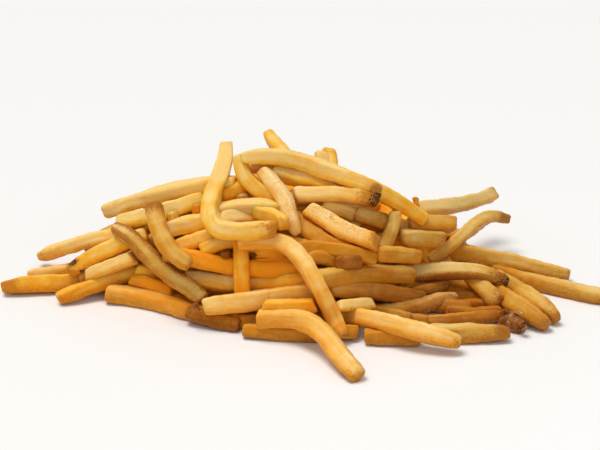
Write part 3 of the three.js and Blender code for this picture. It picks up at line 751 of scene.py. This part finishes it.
# %% Rings of one fry
def fry_rings(fry, dice):
    """The ring points of a fry, with where along it and where round it each of them is."""
    knots = fry["middle"]
    even = np.linspace(0, 1, RUN_STEPS)
    run = np.append(0, np.cumsum(np.linalg.norm(np.diff(curve_points(knots, even), axis=0), axis=1)))
    inner = np.arange(FIRST_INNER_RING, run[-1] - 2 * CUT_BACK - LAST_GAP, RING_GAP)
    ends = np.array([gap for gap, _ in END_RINGS])
    stations = np.concatenate([ends, inner, (run[-1] - 2 * CUT_BACK - ends)[::-1]]) + CUT_BACK
    widths = [wide for _, wide in END_RINGS]
    scale = np.array(widths + [1.0] * len(inner) + widths[::-1])
    shares = np.interp(stations, run, even)
    centre = curve_points(knots, shares)
    ahead = curve_points(knots, np.minimum(shares + TINY_SHARE, 1))
    ahead -= curve_points(knots, np.maximum(shares - TINY_SHARE, 0))
    ahead /= np.linalg.norm(ahead, axis=1)[:, None]
    side = np.cross(fry["out"], ahead)
    side /= np.linalg.norm(side, axis=1)[:, None]
    face = np.cross(ahead, side)
    turn = np.radians(fry["roll"]) + TWIST * wander(stations, TWIST_LENGTH, dice)
    turned_side = side * np.cos(turn)[:, None] + face * np.sin(turn)[:, None]
    turned_face = face * np.cos(turn)[:, None] - side * np.sin(turn)[:, None]

    half = fry["thickness"] / 2
    from_end = np.minimum(stations, run[-1] - stations)
    taper = TAPERS.get(fry["name"], dice.uniform(0.02, MOST_TAPER, 2))
    reach = dice.uniform(*TAPER_REACH, 2)
    narrowing = 1 - taper[0] * np.exp(-stations / reach[0])
    narrowing -= taper[1] * np.exp(-(run[-1] - stations) / reach[1])
    wide, high = (
        half * scale * narrowing * (dice.uniform(*PLUMPNESS) + WIDTH_CHANGE * wander(stations, wave, dice))
        for wave in (WIDTH_LENGTH, HEIGHT_LENGTH)
    )
    corner = CRUMB_CORNER if "crumb" in fry["name"] else dice.uniform(*CORNERS)
    square, sharp = section(corner)
    sunk = (1 - sharp) * dice.uniform(0.0, MOST_SUNK)
    x, y = (side_on * (1 - sunk * (np.abs(side_on) > ON_A_FACE)) for side_on in square.T)
    points = (
        centre[:, None]
        + turned_side[:, None] * (wide[:, None] * x)[:, :, None]
        + turned_face[:, None] * (high[:, None] * y)[:, :, None]
    )
    slant = np.exp(-from_end / SLANT_REACH) * np.where(stations < run[-1] / 2, 1, -1) * fry["slant"]
    points += ahead[:, None] * (slant[:, None] * wide[:, None] * x)[:, :, None]
    outward = points - centre[:, None]
    outward /= np.linalg.norm(outward, axis=2)[:, :, None]
    rough = sum(height * lumps(points, wavelength, dice) for height, wavelength in UNEVEN)
    blisters = ROUGH_ENDS.get(fry["name"], (0.1, 0.1))
    blistered = blisters[0] * np.exp(-stations / BLISTER_REACH)
    blistered += blisters[1] * np.exp(-(run[-1] - stations) / BLISTER_REACH)
    rough += blistered[:, None] * (lumps(points, 4.2, dice) + 0.5 * lumps(points, 2.1, dice))
    rough += RAGGED[fry["kind"]] * 0.09 * (0.3 + sharp) * lumps(points, 2.7, dice)
    points += outward * (rough * np.minimum(1, 0.3 + from_end / 4)[:, None])[:, :, None]
    return {
        "points": points,
        "centre": centre,
        "outward": outward,
        "stations": stations,
        "sharp": sharp,
        "x": x,
        "y": y,
        "half": half,
    }


print("a fry of", len(fry_rings(shown_fries[0], np.random.default_rng(1))["stations"]), "rings")

# %% [markdown]
# ## How covered each place is
# Under other fries the crust is painted a deeper orange than in the open, as painted shade. How covered
# a place is follows from the stretches that were laid: how near one is above it.

# %% Measure the cover
COVER_REACH = 5.0  # millimetres from a fry above at which its effect has mostly gone
OWN_REACH = 2.5  # stretches nearer than this are the fry's own
TABLE_SHADE_REACH = 9.0  # and from the table up, over which painted shade makes fries a deeper orange


def cover_over(points):
    """From 0 in the open to 1 right under another fry."""
    nearest = to_stretches(points)
    distance = np.linalg.norm(nearest, axis=2)
    rising = np.clip(nearest[:, :, 2] / np.maximum(distance, 0.1) - 0.15, 0, 1)
    gap = np.maximum(distance - 2 * laid["radius"] * 0.8, 0)
    cover = np.exp(-gap / COVER_REACH) * np.minimum(1, 2 * rising)
    return np.max(np.where(distance < OWN_REACH, 0, cover), axis=1)


print("cover in the heap's middle", cover_over(np.array([[0.0, 0.0, 30.0]])))


# %% How strongly each place is fried, and where shade and light are painted
BROWN, DARK, SUGAR_GLINT = 1, 2, 3  # which of the four numbers of a point, where the first is its tone
TIP_BROWN = 1.2
TIP_REACH = (2.5, 6.5)  # millimetres
# painted shade: a deeper orange tone under other fries and near the table; the edges are fried deeper
PAINTED_SHADE_UNDER_TONE, TABLE_SHADE_TONE, EDGE_TONE = 0.4, 0.8, 0.2
PAINTED_TOP_LIGHT_TONE = -0.4  # painted light: a face that looks up is painted paler, as if lit from above
# painted shade: browner near the table, on faces that do not look up
TABLE_SHADE_BROWN = 0.55
CHARRED_FROM = 0.62  # how browned a tip has to be before it gets dark pits
KIND_TONE = {"golden": 0.4, "pale": 0.3, "tan": 0.5, "brown": 0.6, "deep": 0.65}
TONE_AND_SHADE_SHIFTS = {  # how much deeper single fries are at their two ends: partly each fry's own tone, partly painted shade on fries deep in the heap and painted light on fries that lie in shade
    "tall stub at the top": (0.3, 0.1), "ragged stub behind the top": (0.2, 0.1),
    "raised at the right": (-0.3, -0.2), "far right": (0.4, -0.5), "long right": (0.1, -0.2),
    "raised and bent": (0.0, 0.1), "long upper left": (-0.6, -0.2), "pointed left": (-0.35, -0.35),
    "behind the far left": (-0.5, -0.6), "far left": (0.3, -0.25), "between the left ones": (-0.7, -0.3),
    "spotted left": (0.0, -0.2), "lower left": (-0.1, 0.0), "end facing out": (-0.2, -0.2),
    "left middle, upper": (-0.4, 0.2), "left middle, lower": (-0.2, -0.1),
    "pale bottom left": (-0.1, 0.6), "deep bottom left": (0.3, 0.5), "deep orange across": (0.5, 0.5),
    "golden behind the upright": (0.3, 0.3), "short upright": (0.2, 0.0), "pale across": (-0.4, 0.2),
    "long pale across": (-0.05, 0.0), "pinkish slope": (0.3, 0.4),
    "short slope in the middle": (-0.5, -0.7), "brown stub in the middle": (-0.1, 0.2),
    "deep middle, upper": (0.5, 0.9), "deep middle, curved": (0.3, 0.7), "deep middle, lower": (0.6, 0.6),
    "brown right of the middle": (0.1, 0.4), "greyish upright": (-0.3, -0.2),
    "curved at the top": (-0.4, -0.3), "bright short across": (-0.7, -0.4),
    "under the crest, left": (-0.6, -0.5), "under the crest, right": (-0.2, -0.2), "crest": (-0.3, 0.1),
    "hooked": (-0.35, 0.1), "sugary slope": (-0.2, -0.1), "broad slope": (0.1, 0.5),
    "fan, outer": (-0.1, 0.1), "fan, inner": (-0.05, 0.1), "blunt, facing out": (-0.1, 0.0),
    "long across, right": (0.25, 0.15), "bottom, left": (0.35, 0.3), "bottom, middle": (0.5, 0.6),
    "bottom, right": (0.2, 0.4), "long lower right": (0.35, 0.0), "long slope": (0.1, 0.1),
    "reaching forward": (0.35, -0.1), "filling": (0.15, 0.15), "bright in a gap": (-0.45, -0.35),
    "deep in a gap": (0.25, 0.25), "chip": (0.6, 0.9), "crumb": (0.3, 0.3), "skin-on slope": (0.0, -0.3),
    "brown-ended slope": (0.3, 0.2), "block": (-0.1, -0.2), "block behind": (-0.3, 0.5),
    "roasted": (-0.8, -0.2), "shaded across": (-0.5, -0.1), "shaded stub": (-0.2, -0.1),
    "thin across, right": (-0.2, 0.1), "yellow stub": (-0.8, -0.8), "bottom, cut end": (-0.4, -0.1),
    "dark-ended across": (-0.1, 0.0), "crisp-tipped": (-0.6, 0.1),
}


def fry_look(fry, rings, dice):
    """For each point: its tone, which holds painted shade and painted light, how browned it is, how dark,
    and how much pale sugar and painted highlight it has.
    """
    points, stations, sharp = rings["points"], rings["stations"], rings["sharp"]
    first_end, last_end = fry["ends"]
    reach = dice.uniform(*TIP_REACH, 2)
    tip = TIP_BROWN * first_end * np.exp(-stations / reach[0])
    tip += TIP_BROWN * last_end * np.exp(-(stations[-1] - stations) / reach[1])
    spread = 0.06 if fry["name"] in TONE_AND_SHADE_SHIFTS else 0.16
    tone = KIND_TONE[fry["kind"]] + dice.uniform(-spread, spread) + 0.12 * lumps(points, 22, dice)
    shift = np.array(TONE_AND_SHADE_SHIFTS.get(fry["name"], (0.0, 0.0)))
    tone = tone + np.interp(stations, stations[[0, -1]], shift)[:, None]
    # painted shade: how close another fry lies above each ring
    cover = cover_over(rings["centre"])[:, None]
    # painted light: faces that look up get a paler tone
    upward = rings["outward"][:, :, 2]
    # painted shade: lower places, near the table, get a deeper orange tone
    low = np.exp(-points[:, :, 2] / TABLE_SHADE_REACH)
    tone = tone + PAINTED_SHADE_UNDER_TONE * cover + PAINTED_TOP_LIGHT_TONE * upward + TABLE_SHADE_TONE * low + EDGE_TONE * sharp - 0.1
    edges = sharp * np.clip(0.35 + 0.65 * lumps(points, 14, dice), 0, 1) * dice.uniform(0.15, 0.6)
    patches = np.clip(lumps(points, 12, dice) - 0.45, 0, 1) * dice.uniform(0.1, 0.7)
    brown = tip[:, None] * (0.8 + 0.45 * lumps(points, 4, dice)) + 0.5 * edges + 0.6 * patches
    # painted shade near the table, on faces that do not look up
    brown = brown + TABLE_SHADE_BROWN * low * np.clip(0.9 - upward, 0, 1)
    dark = np.clip(tip[:, None] - CHARRED_FROM, 0, 1) * np.clip(lumps(points, 3, dice) + 0.3, 0, 1)
    return np.stack([tone, brown, dark, np.zeros_like(tone)], axis=2)


print("tones", KIND_TONE)

# %% [markdown]
# ## Marks of single fries
# A few fries have marks that the eye finds at once: a strip of potato skin, dark spots near an end, a
# burnt and speckled tip, and pale specks, partly sugar and partly painted highlights.

# %% Marks that fade away from an end, and spots
FIRST, LAST = 0, 1
END_MARKS = {  # what, how strong, from which end, its value at the end, and its reach in millimetres
    "dark-ended across": [(BROWN, 1.0, LAST, 1.0, 9), (DARK, 1.1, LAST, 1.0, 7)],
    "crisp-tipped": [(BROWN, 0.8, LAST, 1.2, 9), (DARK, 0.8, LAST, 1.0, 8)],
    # the pale specks at this end are partly sugar and partly a painted highlight
    "roasted": [(SUGAR_GLINT, 0.7, LAST, 1.0, 7)],
    "chip": [(BROWN, 1.5, LAST, 1.0, 2.5)],
    "raised and bent": [(BROWN, 1.5, LAST, 1.1, 9), (DARK, 0.4, LAST, 1.0, 5)],
    "bottom, cut end": [(BROWN, 1.3, LAST, 1.2, 5)],
    "brown-ended slope": [(BROWN, 0.7, FIRST, 1.2, 6), (DARK, 0.35, FIRST, 1.0, 5)],
    "yellow stub": [(BROWN, 1.0, LAST, 1.0, 3), (DARK, 0.5, LAST, 1.0, 2.5)],
    "far left": [(BROWN, 0.9, FIRST, 1.1, 8)],
    "hooked": [(BROWN, 0.4, LAST, 1.0, 8)],
}
SPOTS = {  # how far along, where round the fry from -1 to 1, radius and darkness
    "spotted left": [
        (5.0, 0.8, 0.95, 1.6, 2.4), (6.2, -0.9, 0.8, 1.1, 1.8), (1.0, -0.3, 0.8, 1.8, 0.3)],
    "long pale across": [(26.0, 0.4, 0.95, 0.8, 0.4)],
    "broad slope": [(12.0, 0.5, 0.95, 0.9, 0.4)],
}
# pale specks: partly sugar crystals, partly painted highlights
SUGAR_GLINT_FACES = {"sugary slope": 0.9, "broad slope": 0.8}


def fading(distance, reach, start=1.0):
    """From the start value at distance 0 down to 0, kept between 0 and 1, for each ring."""
    return np.clip(start - distance / reach, 0, 1)[:, None]


def spot(look, rings, along, x, y, radius, dark):
    """A brown spot at a distance along a fry, at a place x, y round it from -1 to 1."""
    half = rings["half"]
    near = ((rings["stations"] - along) / radius)[:, None] ** 2
    near = near + (((rings["x"] - x) * half / radius) ** 2 + ((rings["y"] - y) * half / radius) ** 2)
    look[:, :, BROWN] += 1.2 * np.exp(-near)
    look[:, :, DARK] += dark * np.exp(-near)


print(len(END_MARKS) + len(SPOTS) + len(SUGAR_GLINT_FACES), "lists of marks")


# %% Marks of one fry
def mark(fry, look, rings):
    name, stations, x, y = fry["name"], rings["stations"], rings["x"], rings["y"]
    upward = rings["outward"][:, :, 2]
    from_ends = (stations, stations[-1] - stations)
    for what, strength, end, start, reach in END_MARKS.get(name, ()):
        look[:, :, what] += strength * fading(from_ends[end], reach, start)
    for place in SPOTS.get(name, ()):
        spot(look, rings, *place)
    if name in SUGAR_GLINT_FACES:
        # painted highlight: the pale specks are kept to faces that look up, where the light falls
        lit_top_face = np.clip(2.2 * upward - 0.4, 0, 1)
        look[:, :, SUGAR_GLINT] += SUGAR_GLINT_FACES[name] * np.clip(from_ends[LAST] / 6 - 0.3, 0, 1)[:, None] * lit_top_face
    if name == "skin-on slope":
        strip = np.clip(1 - np.hypot(x - 0.95, y - 0.95) / 0.4, 0, 1)[None, :]
        waver = np.clip(0.7 + 0.3 * np.sin(stations / 4.1) + 0.2 * np.sin(stations / 1.7), 0, 1)[:, None]
        thin = np.clip(1 - np.hypot(x - 0.98, y - 0.8) / 0.22, 0, 1)[None, :]
        look[:, :, BROWN] += 1.2 * strip * waver + 0.6 * rings["sharp"] * fading(stations, 40, 1.2)
        look[:, :, DARK] += 0.3 * strip * waver + 0.9 * thin * (waver > 0.55)
    if name == "crisp-tipped":
        front = np.clip(0.9 - 2.5 * upward, 0, 1)
        look[:, :, BROWN] += 1.6 * front * np.clip(stations / 25, 0.3, 1)[:, None]
        look[:, :, DARK] += 0.25 * front * np.clip(stations / 40, 0, 1)[:, None]
    if "crumb" in name:
        patchy = lumps(rings["points"], 2.6, np.random.default_rng(3))
        look[:, :, BROWN] += 0.5 + 0.3 * patchy
        look[:, :, DARK] += 0.15 + 0.3 * patchy if fry["kind"] == "brown" else 0.0
        # pale flecks on crumbs: partly sugar, partly painted highlights
        look[:, :, SUGAR_GLINT] += 0.8 * np.clip(-patchy - 0.1, 0, 1)
    # painted shade: these two fries lie deep in shadow, so they are browned more
    if name in ("deep bottom left", "deep middle, lower"):
        look[:, :, BROWN] += 0.25
    return np.clip(look, 0, 1)


print("marks ready")

# %% [markdown]
# ## The skin of a fry
# Fried potato is not one colour. It is pale where the crust is thin, golden over most of a face, and
# brown at edges and ends, with fine freckles where bubbles burst. The tone that each point carries also
# holds painted shade and painted light: deeper orange under other fries and near the table, paler on
# faces that look up. All kinds of fry share these effects, so they are node groups: one for the colour,
# one for how oily a place is, one for the fine crust. Only a heavily browned place gets charred pits,
# and only a marked one gets pale specks, partly sugar crystals and partly painted highlights.

# %% A helper for node groups
def node_group(name, inputs, outputs):
    """A shader group with named sockets, each given as (name, type)."""
    group = bpy.data.node_groups.new(name, "ShaderNodeTree")
    for sockets, in_out in ((inputs, "INPUT"), (outputs, "OUTPUT")):
        for label, kind in sockets:
            group.interface.new_socket(label, in_out=in_out, socket_type=kind)
    return group, group.nodes.new("NodeGroupInput"), group.nodes.new("NodeGroupOutput")


def put(tree, node, index, value):
    """Links a socket into a node, or sets a plain value there."""
    if isinstance(value, bpy.types.NodeSocket):
        tree.links.new(value, node.inputs[index])
    else:
        node.inputs[index].default_value = value


def mix_colour(tree, share, first, second):
    """A colour mix. Each argument is a socket or a plain value."""
    node = tree.nodes.new("ShaderNodeMix")
    node.data_type = "RGBA"
    for index, value in ((0, share), (6, first), (7, second)):
        put(tree, node, index, value)
    return node.outputs[2]


def sums(tree, operation, *values):
    """A math node on sockets or numbers."""
    node = tree.nodes.new("ShaderNodeMath")
    node.operation = operation
    for index, value in enumerate(values):
        put(tree, node, index, value)
    return node.outputs[0]


def noise(tree, spots_per_metre, detail=3.0, rough=0.55):
    """Noise over the object's own space, about 0.5 everywhere."""
    place = tree.nodes.new("ShaderNodeTexCoord")
    node = tree.nodes.new("ShaderNodeTexNoise")
    node.inputs["Scale"].default_value = spots_per_metre
    node.inputs["Detail"].default_value = detail
    node.inputs["Roughness"].default_value = rough
    tree.links.new(place.outputs["Object"], node.inputs["Vector"])
    return node.outputs["Fac"]


def swing(tree, value, size):
    """Turns noise about 0.5 into noise about 0, that size from its least to its most."""
    return sums(tree, "MULTIPLY_ADD", value, size, -size / 2)


def streaks(tree, along, across):
    """Noise drawn out along each fry, about 0.5 everywhere."""
    place = tree.nodes.new("ShaderNodeAttribute")
    place.attribute_name = "fry_place"
    stretch = tree.nodes.new("ShaderNodeVectorMath")
    stretch.operation = "MULTIPLY"
    stretch.inputs[1].default_value = (along, across, across)
    tree.links.new(place.outputs["Vector"], stretch.inputs[0])
    node = tree.nodes.new("ShaderNodeTexNoise")
    node.inputs["Scale"].default_value = 1.0
    node.inputs["Detail"].default_value = 3.0
    tree.links.new(stretch.outputs["Vector"], node.inputs["Vector"])
    return node.outputs["Fac"]


def ramp(tree, value, low, high):
    """0 below low, 1 above high, smooth between."""
    node = tree.nodes.new("ShaderNodeMapRange")
    node.interpolation_type = "SMOOTHSTEP"
    node.inputs["From Min"].default_value = low
    node.inputs["From Max"].default_value = high
    tree.links.new(value, node.inputs["Value"])
    return node.outputs["Result"]


print("helpers ready")

# %% The colour group
RGBA = "NodeSocketColor"
NUMBER = "NodeSocketFloat"
CHARRED = (0.09, 0.03, 0.01, 1)
# pale specks: partly sugar crystals, partly painted highlights
SUGAR_GLINT_COLOUR = (0.93, 0.84, 0.60, 1)
SHADES = ("Pale", "Golden", "Deep", "Browned")  # from the least to the most fried; painted shade also pushes a place towards Deep
crust, crust_in, crust_out = node_group(
    "fried_crust_colour", [(shade, RGBA) for shade in SHADES] + [("Freckles", NUMBER)], [("Color", RGBA)]
)
look = crust.nodes.new("ShaderNodeAttribute")
look.attribute_name = "fry_look"
parts = crust.nodes.new("ShaderNodeSeparateColor")
crust.links.new(look.outputs["Color"], parts.inputs["Color"])
tone, brown, dark = parts.outputs
mottled = swing(crust, noise(crust, 260), 0.7)
streaky = swing(crust, streaks(crust, 110, 800), 0.6)
tone = sums(crust, "ADD", sums(crust, "ADD", tone, mottled), streaky)
to_golden, to_deep = ramp(crust, tone, 0.0, 0.55), ramp(crust, tone, 0.45, 1.05)
colour = mix_colour(crust, to_golden, crust_in.outputs["Pale"], crust_in.outputs["Golden"])
colour = mix_colour(crust, to_deep, colour, crust_in.outputs["Deep"])
speckle = swing(crust, noise(crust, 950, 2.0, 0.6), 1.0)
speckled = sums(crust, "MULTIPLY", sums(crust, "MULTIPLY", speckle, 1.3), ramp(crust, brown, 0.05, 0.5))
browning = ramp(crust, sums(crust, "ADD", brown, speckled), 0.06, 0.88)
colour = mix_colour(crust, browning, colour, crust_in.outputs["Browned"])
freckle = ramp(crust, noise(crust, 1500, 1.0, 0.4), 0.66, 0.76)
freckle = sums(crust, "MULTIPLY", freckle, crust_in.outputs["Freckles"])
colour = mix_colour(crust, freckle, colour, crust_in.outputs["Browned"])
pitted = swing(crust, noise(crust, 1700, 2.0, 0.6), 2.8)
pitted = sums(crust, "MULTIPLY_ADD", pitted, ramp(crust, dark, 0.0, 0.3), dark)
charring = ramp(crust, pitted, 0.45, 0.8)
colour = mix_colour(crust, charring, colour, CHARRED)
# pale specks where a point is marked for them: partly sugar crystals, partly painted highlights
sugar_glint = ramp(crust, noise(crust, 1500, 2.0, 0.5), 0.44, 0.6)
sugar_glint = sums(crust, "MULTIPLY", sums(crust, "MULTIPLY", sugar_glint, look.outputs["Alpha"]), 0.6)
colour = mix_colour(crust, sugar_glint, colour, SUGAR_GLINT_COLOUR)
crust.links.new(colour, crust_out.inputs["Color"])
print("colour group of", len(crust.nodes), "nodes")

# %% The oil group
oil, oil_in, oil_out = node_group("oily_film", [("Dry", NUMBER), ("Oily", NUMBER)], [("Roughness", NUMBER)])
film = ramp(oil, noise(oil, 180, 4.0), 0.4, 0.62)
difference = sums(oil, "SUBTRACT", oil_in.outputs["Oily"], oil_in.outputs["Dry"])
shine = sums(oil, "MULTIPLY_ADD", film, difference, oil_in.outputs["Dry"])
oil.links.new(shine, oil_out.inputs["Roughness"])
print("oil group of", len(oil.nodes), "nodes")

# %% The fine crust group
COARSE, FINE, DRAWN = 0.6, 0.25, 0.5  # how high each of the three reliefs is
blister, _, blister_out = node_group("fine_crust", [], [("Height", NUMBER)])
coarse = sums(blister, "MULTIPLY", noise(blister, 520, 3.0), COARSE)
fine = sums(blister, "MULTIPLY", noise(blister, 2100, 2.0), FINE)
drawn = sums(blister, "MULTIPLY", streaks(blister, 150, 900), DRAWN)
height = sums(blister, "ADD", sums(blister, "ADD", coarse, fine), drawn)
blister.links.new(height, blister_out.inputs["Height"])
print("fine crust group of", len(blister.nodes), "nodes")

# %% [markdown]
# ## One material for each kind of fry
# The kinds differ in their colours, in how many freckles they have and in how dry they are. Light goes
# a little way into a potato, so each material scatters some of it under the surface. The fries inside
# scatter less, because light that strays where two of them cross would tint the seam.

# %% Make the materials
CRUST_SHADER = {
    "IOR": 1.42,
    "Specular IOR Level": 0.24,
    "Specular Tint": (1.0, 0.72, 0.32, 1),
    "Coat Weight": 0.07,
    "Coat Roughness": 0.18,
    "Subsurface Weight": 0.55,
    "Subsurface Radius": (0.7, 0.42, 0.18),
    "Subsurface Scale": 3.5 * MM,
}
DEEP_SCATTER = 0.15  # subsurface weight of the fries inside
RELIEF = {"Strength": 0.7, "Distance": 0.6 * MM}


def set_values(node, values):
    for label, value in values.items():
        node.inputs[label].default_value = value


def use_group(tree, group, values):
    """A node that uses a group, with its inputs set."""
    node = tree.nodes.new("ShaderNodeGroup")
    node.node_tree = group
    set_values(node, values)
    return node


def fry_material(kind):
    material = bpy.data.materials.new(f"{kind}_crust")
    material.use_nodes = True
    tree = material.node_tree
    shader = tree.nodes["Principled BSDF"]
    set_values(shader, CRUST_SHADER)
    if kind == "deep":
        shader.inputs["Subsurface Weight"].default_value = DEEP_SCATTER
    freckles, dry, oily = FRY_SURFACE[kind]
    shades = {shade: (*rgb, 1) for shade, rgb in zip(SHADES, FRY_COLOURS[kind])}
    colour = use_group(tree, crust, shades | {"Freckles": freckles})
    tree.links.new(colour.outputs["Color"], shader.inputs["Base Color"])
    film = use_group(tree, oil, {"Dry": dry, "Oily": oily})
    tree.links.new(film.outputs["Roughness"], shader.inputs["Roughness"])
    relief = use_group(tree, blister, {})
    bump = tree.nodes.new("ShaderNodeBump")
    set_values(bump, RELIEF)
    tree.links.new(relief.outputs["Height"], bump.inputs["Height"])
    tree.links.new(bump.outputs["Normal"], shader.inputs["Normal"])
    return material


FRY_COLOURS = {  # the four shades of each kind
    "golden": ((0.90, 0.62, 0.21), (0.87, 0.48, 0.05), (0.83, 0.29, 0.005), (0.56, 0.20, 0.012)),
    "pale": ((0.90, 0.62, 0.24), (0.86, 0.48, 0.10), (0.80, 0.31, 0.02), (0.56, 0.22, 0.02)),
    "tan": ((0.78, 0.55, 0.20), (0.70, 0.41, 0.08), (0.62, 0.24, 0.012), (0.42, 0.16, 0.02)),
    "brown": ((0.74, 0.43, 0.14), (0.62, 0.27, 0.04), (0.46, 0.15, 0.008), (0.28, 0.085, 0.008)),
    # painted shade, in part: the inner fries' shades are a saturated orange that stands for the orange glow
    # of the heap's shaded inside
    "deep": ((0.95, 0.54, 0.05), (0.93, 0.43, 0.015), (0.88, 0.31, 0.004), (0.60, 0.21, 0.01)),
}
FRY_SURFACE = {  # freckles, roughness where dry and where oily
    "golden": (0.12, 0.56, 0.34),
    "pale": (0.1, 0.58, 0.36),
    "tan": (0.22, 0.56, 0.34),
    "brown": (0.5, 0.6, 0.38),
    "deep": (0.25, 0.6, 0.45),
}
FRY_PAINTS = {kind: fry_material(kind) for kind in FRY_COLOURS}
print(len(FRY_PAINTS), "materials")

# %% [markdown]
# ## Join the fries of each kind into one mesh
# A heap with a hundred objects is slow to handle, and nothing in it moves by itself, so all fries of
# one kind become one mesh. Points are never left below the table.

# %% Make the meshes
TABLE_CLEAR = 0.0002  # metres that every point stays above the table
SHAPE_SEED = 4
FRY_SPACING = 40.0  # how far apart the streaks of one fry are taken from those of the next, in millimetres


def fry_faces(rings, sides, first):
    """Faces between the rings, and fans over the two ends, whose middles are the last two points."""
    ring = np.arange(rings - 1)[:, None] * sides
    side = np.arange(sides)[None, :]
    after = (side + 1) % sides
    walls = np.stack([ring + side, ring + after, ring + sides + after, ring + sides + side], axis=2)
    fans = []
    last = (rings - 1) * sides
    for i in range(sides):
        j = (i + 1) % sides
        fans.append((rings * sides, j, i))
        fans.append((rings * sides + 1, last + i, last + j))
    faces = [tuple(int(n) + first for n in wall) for wall in walls.reshape(-1, 4)]
    return faces + [tuple(n + first for n in fan) for fan in fans]


def make_piece(name, points, faces, look, place, material):
    """A smooth mesh of points in millimetres, with the look of each point and its place on its fry."""
    points = points * MM
    points[:, 2] = np.maximum(points[:, 2], TABLE_CLEAR)
    mesh = bpy.data.meshes.new(name)
    mesh.from_pydata(points.tolist(), [], faces)
    for label, kind, channel, values in (
        ("fry_look", "FLOAT_COLOR", "color", look),
        ("fry_place", "FLOAT_VECTOR", "vector", place * MM),
    ):
        attribute = mesh.attributes.new(label, kind, "POINT")
        attribute.data.foreach_set(channel, values.astype(np.float32).ravel())
    mesh.polygons.foreach_set("use_smooth", [True] * len(mesh.polygons))
    mesh.materials.append(material)
    piece = bpy.data.objects.new(name, mesh)
    bpy.context.scene.collection.objects.link(piece)
    print(name, "has", sum(len(face) - 2 for face in faces), "triangles")
    return piece


def fries_piece(name, fries, material):
    """One mesh of many fries, with their looks as a colour on each point."""
    vertices, faces, paints, places = [], [], [], []
    count = 0
    for fry in fries:
        dice = np.random.default_rng((SHAPE_SEED, fry["number"]))
        made = fry_rings(fry, dice)
        look = mark(fry, fry_look(fry, made, dice), made)
        points = made["points"]
        rings, sides = points.shape[:2]
        caps = np.stack([points[0].mean(axis=0), points[-1].mean(axis=0)])
        paint = np.vstack([look.reshape(-1, 4), look[0].mean(axis=0), look[-1].mean(axis=0)])
        vertices.append(np.vstack([points.reshape(-1, 3), caps]))
        paints.append(paint)
        across = np.stack([made["x"], made["y"]], axis=1) * made["half"] + FRY_SPACING * fry["number"]
        place = np.concatenate(
            [np.repeat(made["stations"], sides)[:, None], np.tile(across, (rings, 1))], axis=1
        )
        places.append(np.vstack([place, place[:2]]))
        faces += fry_faces(rings, sides, count)
        count += rings * sides + 2
    print(len(fries), "fries")
    return make_piece(name, np.vstack(vertices), faces, np.vstack(paints), np.vstack(places), material)


for number, fry in enumerate(all_fries + inner_fries):
    fry["number"] = number
pieces = [
    fries_piece(f"{kind}_fries", [f for f in all_fries if f["kind"] == kind], FRY_PAINTS[kind])
    for kind in KINDS
]
pieces.append(fries_piece("inner_fries", inner_fries, FRY_PAINTS["deep"]))

# %% [markdown]
# ## The mound
# Deep in the heap the fries lie so close that only dark orange shadow shows between them. A low mound
# with a lumpy surface closes the heap there, under the inner fries; its deep orange is painted shade.

# %% Make the mound
MOUND_SHARE = 0.95  # of the solid's mound, so that it stays under the inner fries
MOUND_RINGS, MOUND_SIDES = 28, 96
MOUND_LUMPS = 1.2
# painted shade: the mound's deep orange stands for the shade between the packed fries
MOUND_SHADE_LOOK = (0.8, 0.15, 0.0, 0.0)


def mound_piece():
    dice = np.random.default_rng(5)
    rise = np.linspace(0, math.pi / 2, MOUND_RINGS, endpoint=False)[:, None]
    bearing = np.linspace(0, 2 * math.pi, MOUND_SIDES, endpoint=False)[None, :]
    level = np.cos(rise)
    height = np.sin(rise) * np.ones_like(bearing)
    ball = np.stack([level * np.cos(bearing), level * np.sin(bearing), height], axis=2)
    points = CORE_MIDDLE + ball * CORE_HALF * MOUND_SHARE
    points += ball * (MOUND_LUMPS * lumps(points, 12, dice))[:, :, None]
    top = CORE_MIDDLE + [0, 0, CORE_HALF[2] * MOUND_SHARE]
    points = np.vstack([points.reshape(-1, 3), CORE_MIDDLE, top])
    faces = fry_faces(MOUND_RINGS, MOUND_SIDES, 0)
    look = np.tile(MOUND_SHADE_LOOK, (len(points), 1))
    return make_piece("mound", points, faces, look, np.zeros_like(points), FRY_PAINTS["deep"])


pieces.append(mound_piece())
print("mound of", len(pieces[-1].data.polygons), "faces")

# %% Fasten the pieces to the model
for piece in pieces:
    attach(piece, "root")
    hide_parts("fries_heap")
print([piece.name for piece in pieces])
